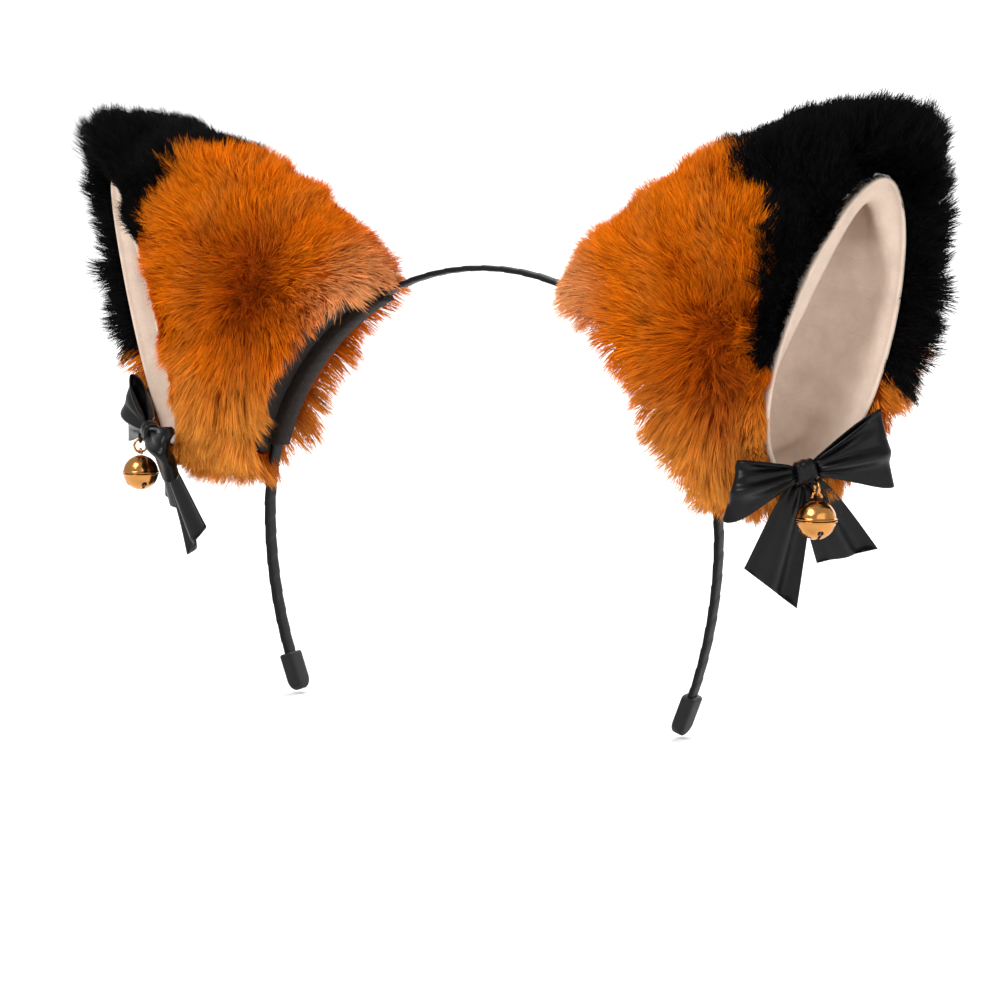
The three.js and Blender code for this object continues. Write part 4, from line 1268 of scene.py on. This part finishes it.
def ring_rings():
    """The jump ring: a circle of wire that stands across the bow's face."""
    turn = np.linspace(0, 2 * pi, 65)[:-1]
    t = np.linspace(0, 2 * pi, 17)[:-1]
    r = RING_RADIUS + RING_WIRE * np.cos(t)[None, :]
    y, z = r * np.cos(turn)[:, None], r * np.sin(turn)[:, None] + HOOK - RING_RADIUS
    return pendant_point(RING_WIRE * np.sin(t)[None, :] + 0 * y, y, z)


def dome_rings(way):
    """Half of the bell as a closed shell, turned about the upright: outside from its pole
    to a rolled seam flange, and back along the inside. way is 1 for the upper half."""
    outer, inner = BELL_RADIUS, BELL_RADIUS - SHELL_WALL
    t = np.linspace(0.02, pi / 2 - 0.1, 22)
    roll = np.linspace(pi / 2, -pi / 2, 9)
    lip_z = 0.00032 + SEAM_ROLL * np.sin(roll)
    lip_r = outer + SEAM_REACH - SEAM_ROLL + SEAM_ROLL * np.cos(roll)
    radius = np.concatenate([outer * np.sin(t), lip_r, inner * np.sin(t[::-1])])
    inside = np.maximum(inner * np.cos(t[::-1]), 0.00016)
    height = np.concatenate([outer * np.cos(t), lip_z, inside])
    turn = np.linspace(0, 2 * pi, 65)[:-1]
    x, y = radius[:, None] * np.cos(turn), radius[:, None] * np.sin(turn)
    z = BELL_MIDDLE + way * height[:, None] + 0 * x
    return pendant_point(x, y, z)


def saw_slits(bell, side, slit):
    """Cuts two crossed slits with round ends through the bottom of a bell half."""
    reach = BELL_RADIUS * sin(SLIT_ANGLE)
    level = BELL_RADIUS * cos(SLIT_ANGLE)
    spin = MOUTH_FACING * SIDES[side]
    centre = Vector(on_side(pendant_point(0.0, 0.0, BELL_MIDDLE), side))
    tools = []
    for turn in (0.0, pi / 2):
        bpy.ops.mesh.primitive_cube_add(size=1)
        bar = bpy.context.object
        size = Matrix.Diagonal((2 * reach, slit, BELL_RADIUS, 1))
        place = Matrix.Translation(centre) @ Matrix.Rotation(spin + turn, 4, "Z")
        bar.matrix_world = place @ Matrix.Translation((0, 0, -level - BELL_RADIUS / 2)) @ size
        tools.append(bar)
        for way in (-1, 1):
            bpy.ops.mesh.primitive_cylinder_add(vertices=28, radius=slit, depth=BELL_RADIUS)
            hole = bpy.context.object
            tilt = Matrix.Rotation(-way * SLIT_ANGLE, 4, "Y")
            hole.matrix_world = place @ tilt @ Matrix.Translation((0, 0, -BELL_RADIUS))
            tools.append(hole)
    for tool in tools:
        cutter = bell.modifiers.new("Slit", "BOOLEAN")
        cutter.operation, cutter.object, cutter.solver = "DIFFERENCE", tool, "EXACT"
    bpy.context.view_layer.update()
    ready = bell.evaluated_get(bpy.context.evaluated_depsgraph_get())
    mesh = bpy.data.meshes.new_from_object(ready)
    bell.modifiers.clear()
    bell.data = mesh
    for tool in tools:
        bpy.data.objects.remove(tool)


class EARS_OT_bell(bpy.types.Operator):
    """Makes each bell with its thread, ring and staple"""

    bl_idname = "ears.bell"
    bl_label = "Bells"

    def execute(self, context):
        bell = context.scene.ears_bell
        gold = gold_material(bell.gold)
        thread = cloth_material("Thread", context.scene.ears_cloth.thread, 2500.0, 0.05)
        steel = bpy.data.materials.get("Spring steel") or steel_material()
        stitch = hoop_rings(0.0012, 0.00035, 0.0016, -1, 0.0012)
        parts = (
            ("hanger", "staple", hoop_rings(0.0013, RING_WIRE, 0.0003, 1, STAPLE_TOP - 0.0013)),
            ("crown_shell", "upper_shell", dome_rings(1)),
            ("slit_shell", "lower_shell", dome_rings(-1)),
        )
        for side in SIDES:
            loop = lofted(f"{side}_bell_thread", on_side(stitch, side), thread)
            fit(loop, "headband", f"{side}_bell_stitch")
            ring = lofted(f"{side}_bell_jump_ring", on_side(ring_rings(), side), gold, ends="join")
            fit(ring, f"{side}_ring", f"{side}_bell_ring")
            for name, node, rings in parts:
                piece = lofted(f"{side}_bell_{name}", on_side(rings, side), gold)
                if node == "lower_shell":
                    saw_slits(piece, side, bell.slit)
                fit(piece, f"{side}_bell", f"{side}_bell_{node}")
            clothe(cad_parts[f"{side}_bell_pellet"], steel)
        return {"FINISHED"}


# ------------------------------------------------------------------ stage


def area_light(name, place, aim, power, size):
    """A square soft white light at a place, turned to an aim point."""
    data = bpy.data.lights.new(name, "AREA")
    data.energy, data.size = power, size
    light = bpy.data.objects.new(name, data)
    light.location = place
    light.rotation_euler = (Vector(aim) - Vector(place)).to_track_quat("-Z", "Y").to_euler()
    bpy.context.scene.collection.objects.link(light)


def sweep_floor(material):
    """A level floor that curves up into a backdrop: an arc of a quarter turn between two
    flats, swept sideways."""
    level = CAD_BOX[0][2] - 0.001
    t = np.linspace(0, pi / 2, 25)
    y = np.concatenate([[-14.0], 2.0 + np.sin(t), [3.0]])
    z = np.concatenate([[level], level + 1.0 - np.cos(t), [level + 4.0]])
    x = np.linspace(-14, 14, 3)
    points = np.stack(np.broadcast_arrays(x[None, :], y[:, None], z[:, None]), -1)
    quads = grid_quads(len(y), len(x))
    return new_piece("floor", points.reshape(-1, 3), quads, NO_TRIS, material)


class EARS_OT_stage(bpy.types.Operator):
    """Places the camera, the lights and the floor"""

    bl_idname = "ears.stage"
    bl_label = "Stage"

    def execute(self, context):
        stage = context.scene.ears_stage
        target = Vector((0, 0, -0.041))
        a, e = stage.azimuth, stage.elevation
        back = Vector((sin(a) * cos(e), -cos(a) * cos(e), sin(e)))
        data = bpy.data.cameras.new("Camera")
        data.lens, data.sensor_width = stage.lens, 36.0
        data.clip_start, data.clip_end = 0.05, 20.0
        camera = bpy.data.objects.new("Camera", data)
        context.scene.collection.objects.link(camera)
        look = (-back).to_track_quat("-Z", "Y").to_matrix().to_4x4()
        aim = Matrix.Rotation(radians(-0.37), 4, "Y") @ Matrix.Rotation(radians(-2.13), 4, "X")
        roll = Matrix.Rotation(radians(0.4), 4, "Z")
        camera.matrix_world = Matrix.Translation(target + back * stage.distance) @ look @ roll @ aim
        context.scene.camera = camera
        sweep_floor(floor_material(stage.floor))
        world = context.scene.world or bpy.data.worlds.new("World")
        context.scene.world = world
        context.scene.view_settings.view_transform = "Standard"
        world.use_nodes = True
        backdrop = world.node_tree.nodes["Background"]
        backdrop.inputs["Color"].default_value = (1, 1, 1, 1)
        backdrop.inputs["Strength"].default_value = 0.66
        middle = (0, 0, -0.03)
        area_light("Key", (-0.35, -1.05, 1.1), middle, 14, 0.7)
        area_light("Fill", (1.3, -0.9, 0.35), middle, 5, 1.1)
        area_light("Rim", (0.3, 1.3, 0.9), middle, 8, 1.0)
        area_light("Backdrop", (0, 1.1, 2.2), (0, 3, 0.2), 80, 1.6)
        return {"FINISHED"}


# ------------------------------------------------------------------ panel and main


GROUPS = {
    "ears_fur": FurSettings,
    "ears_cloth": ClothSettings,
    "ears_band": BandSettings,
    "ears_bell": BellSettings,
    "ears_stage": StageSettings,
}
OPERATORS = (EARS_OT_stage, EARS_OT_band, EARS_OT_lining, EARS_OT_fur, EARS_OT_bow, EARS_OT_bell)


class EARS_PT_panel(bpy.types.Panel):
    """Settings and build buttons"""

    bl_idname = "EARS_PT_panel"
    bl_label = "Animal Ears Headband"
    bl_space_type = "VIEW_3D"
    bl_region_type = "UI"
    bl_category = "Ears"

    def draw(self, context):
        for group, kind in GROUPS.items():
            box = self.layout.box()
            for name in kind.__annotations__:
                box.prop(getattr(context.scene, group), name)
        for operator in OPERATORS:
            self.layout.operator(operator.bl_idname)


def register():
    """Registers the settings, the operators and the panel."""
    for kind in (*GROUPS.values(), *OPERATORS, EARS_PT_panel):
        bpy.utils.register_class(kind)
    for name, kind in GROUPS.items():
        setattr(bpy.types.Scene, name, bpy.props.PointerProperty(type=kind))


def unregister():
    """Takes back what register added."""
    for name in GROUPS:
        delattr(bpy.types.Scene, name)
    for kind in reversed((*GROUPS.values(), *OPERATORS, EARS_PT_panel)):
        bpy.utils.unregister_class(kind)


def main():
    """Builds everything in order."""
    register()
    bpy.ops.ears.stage()
    bpy.ops.ears.band()
    bpy.ops.ears.lining()
    bpy.ops.ears.fur()
    bpy.ops.ears.bow()
    bpy.ops.ears.bell()


if __name__ == "__main__":
    main()
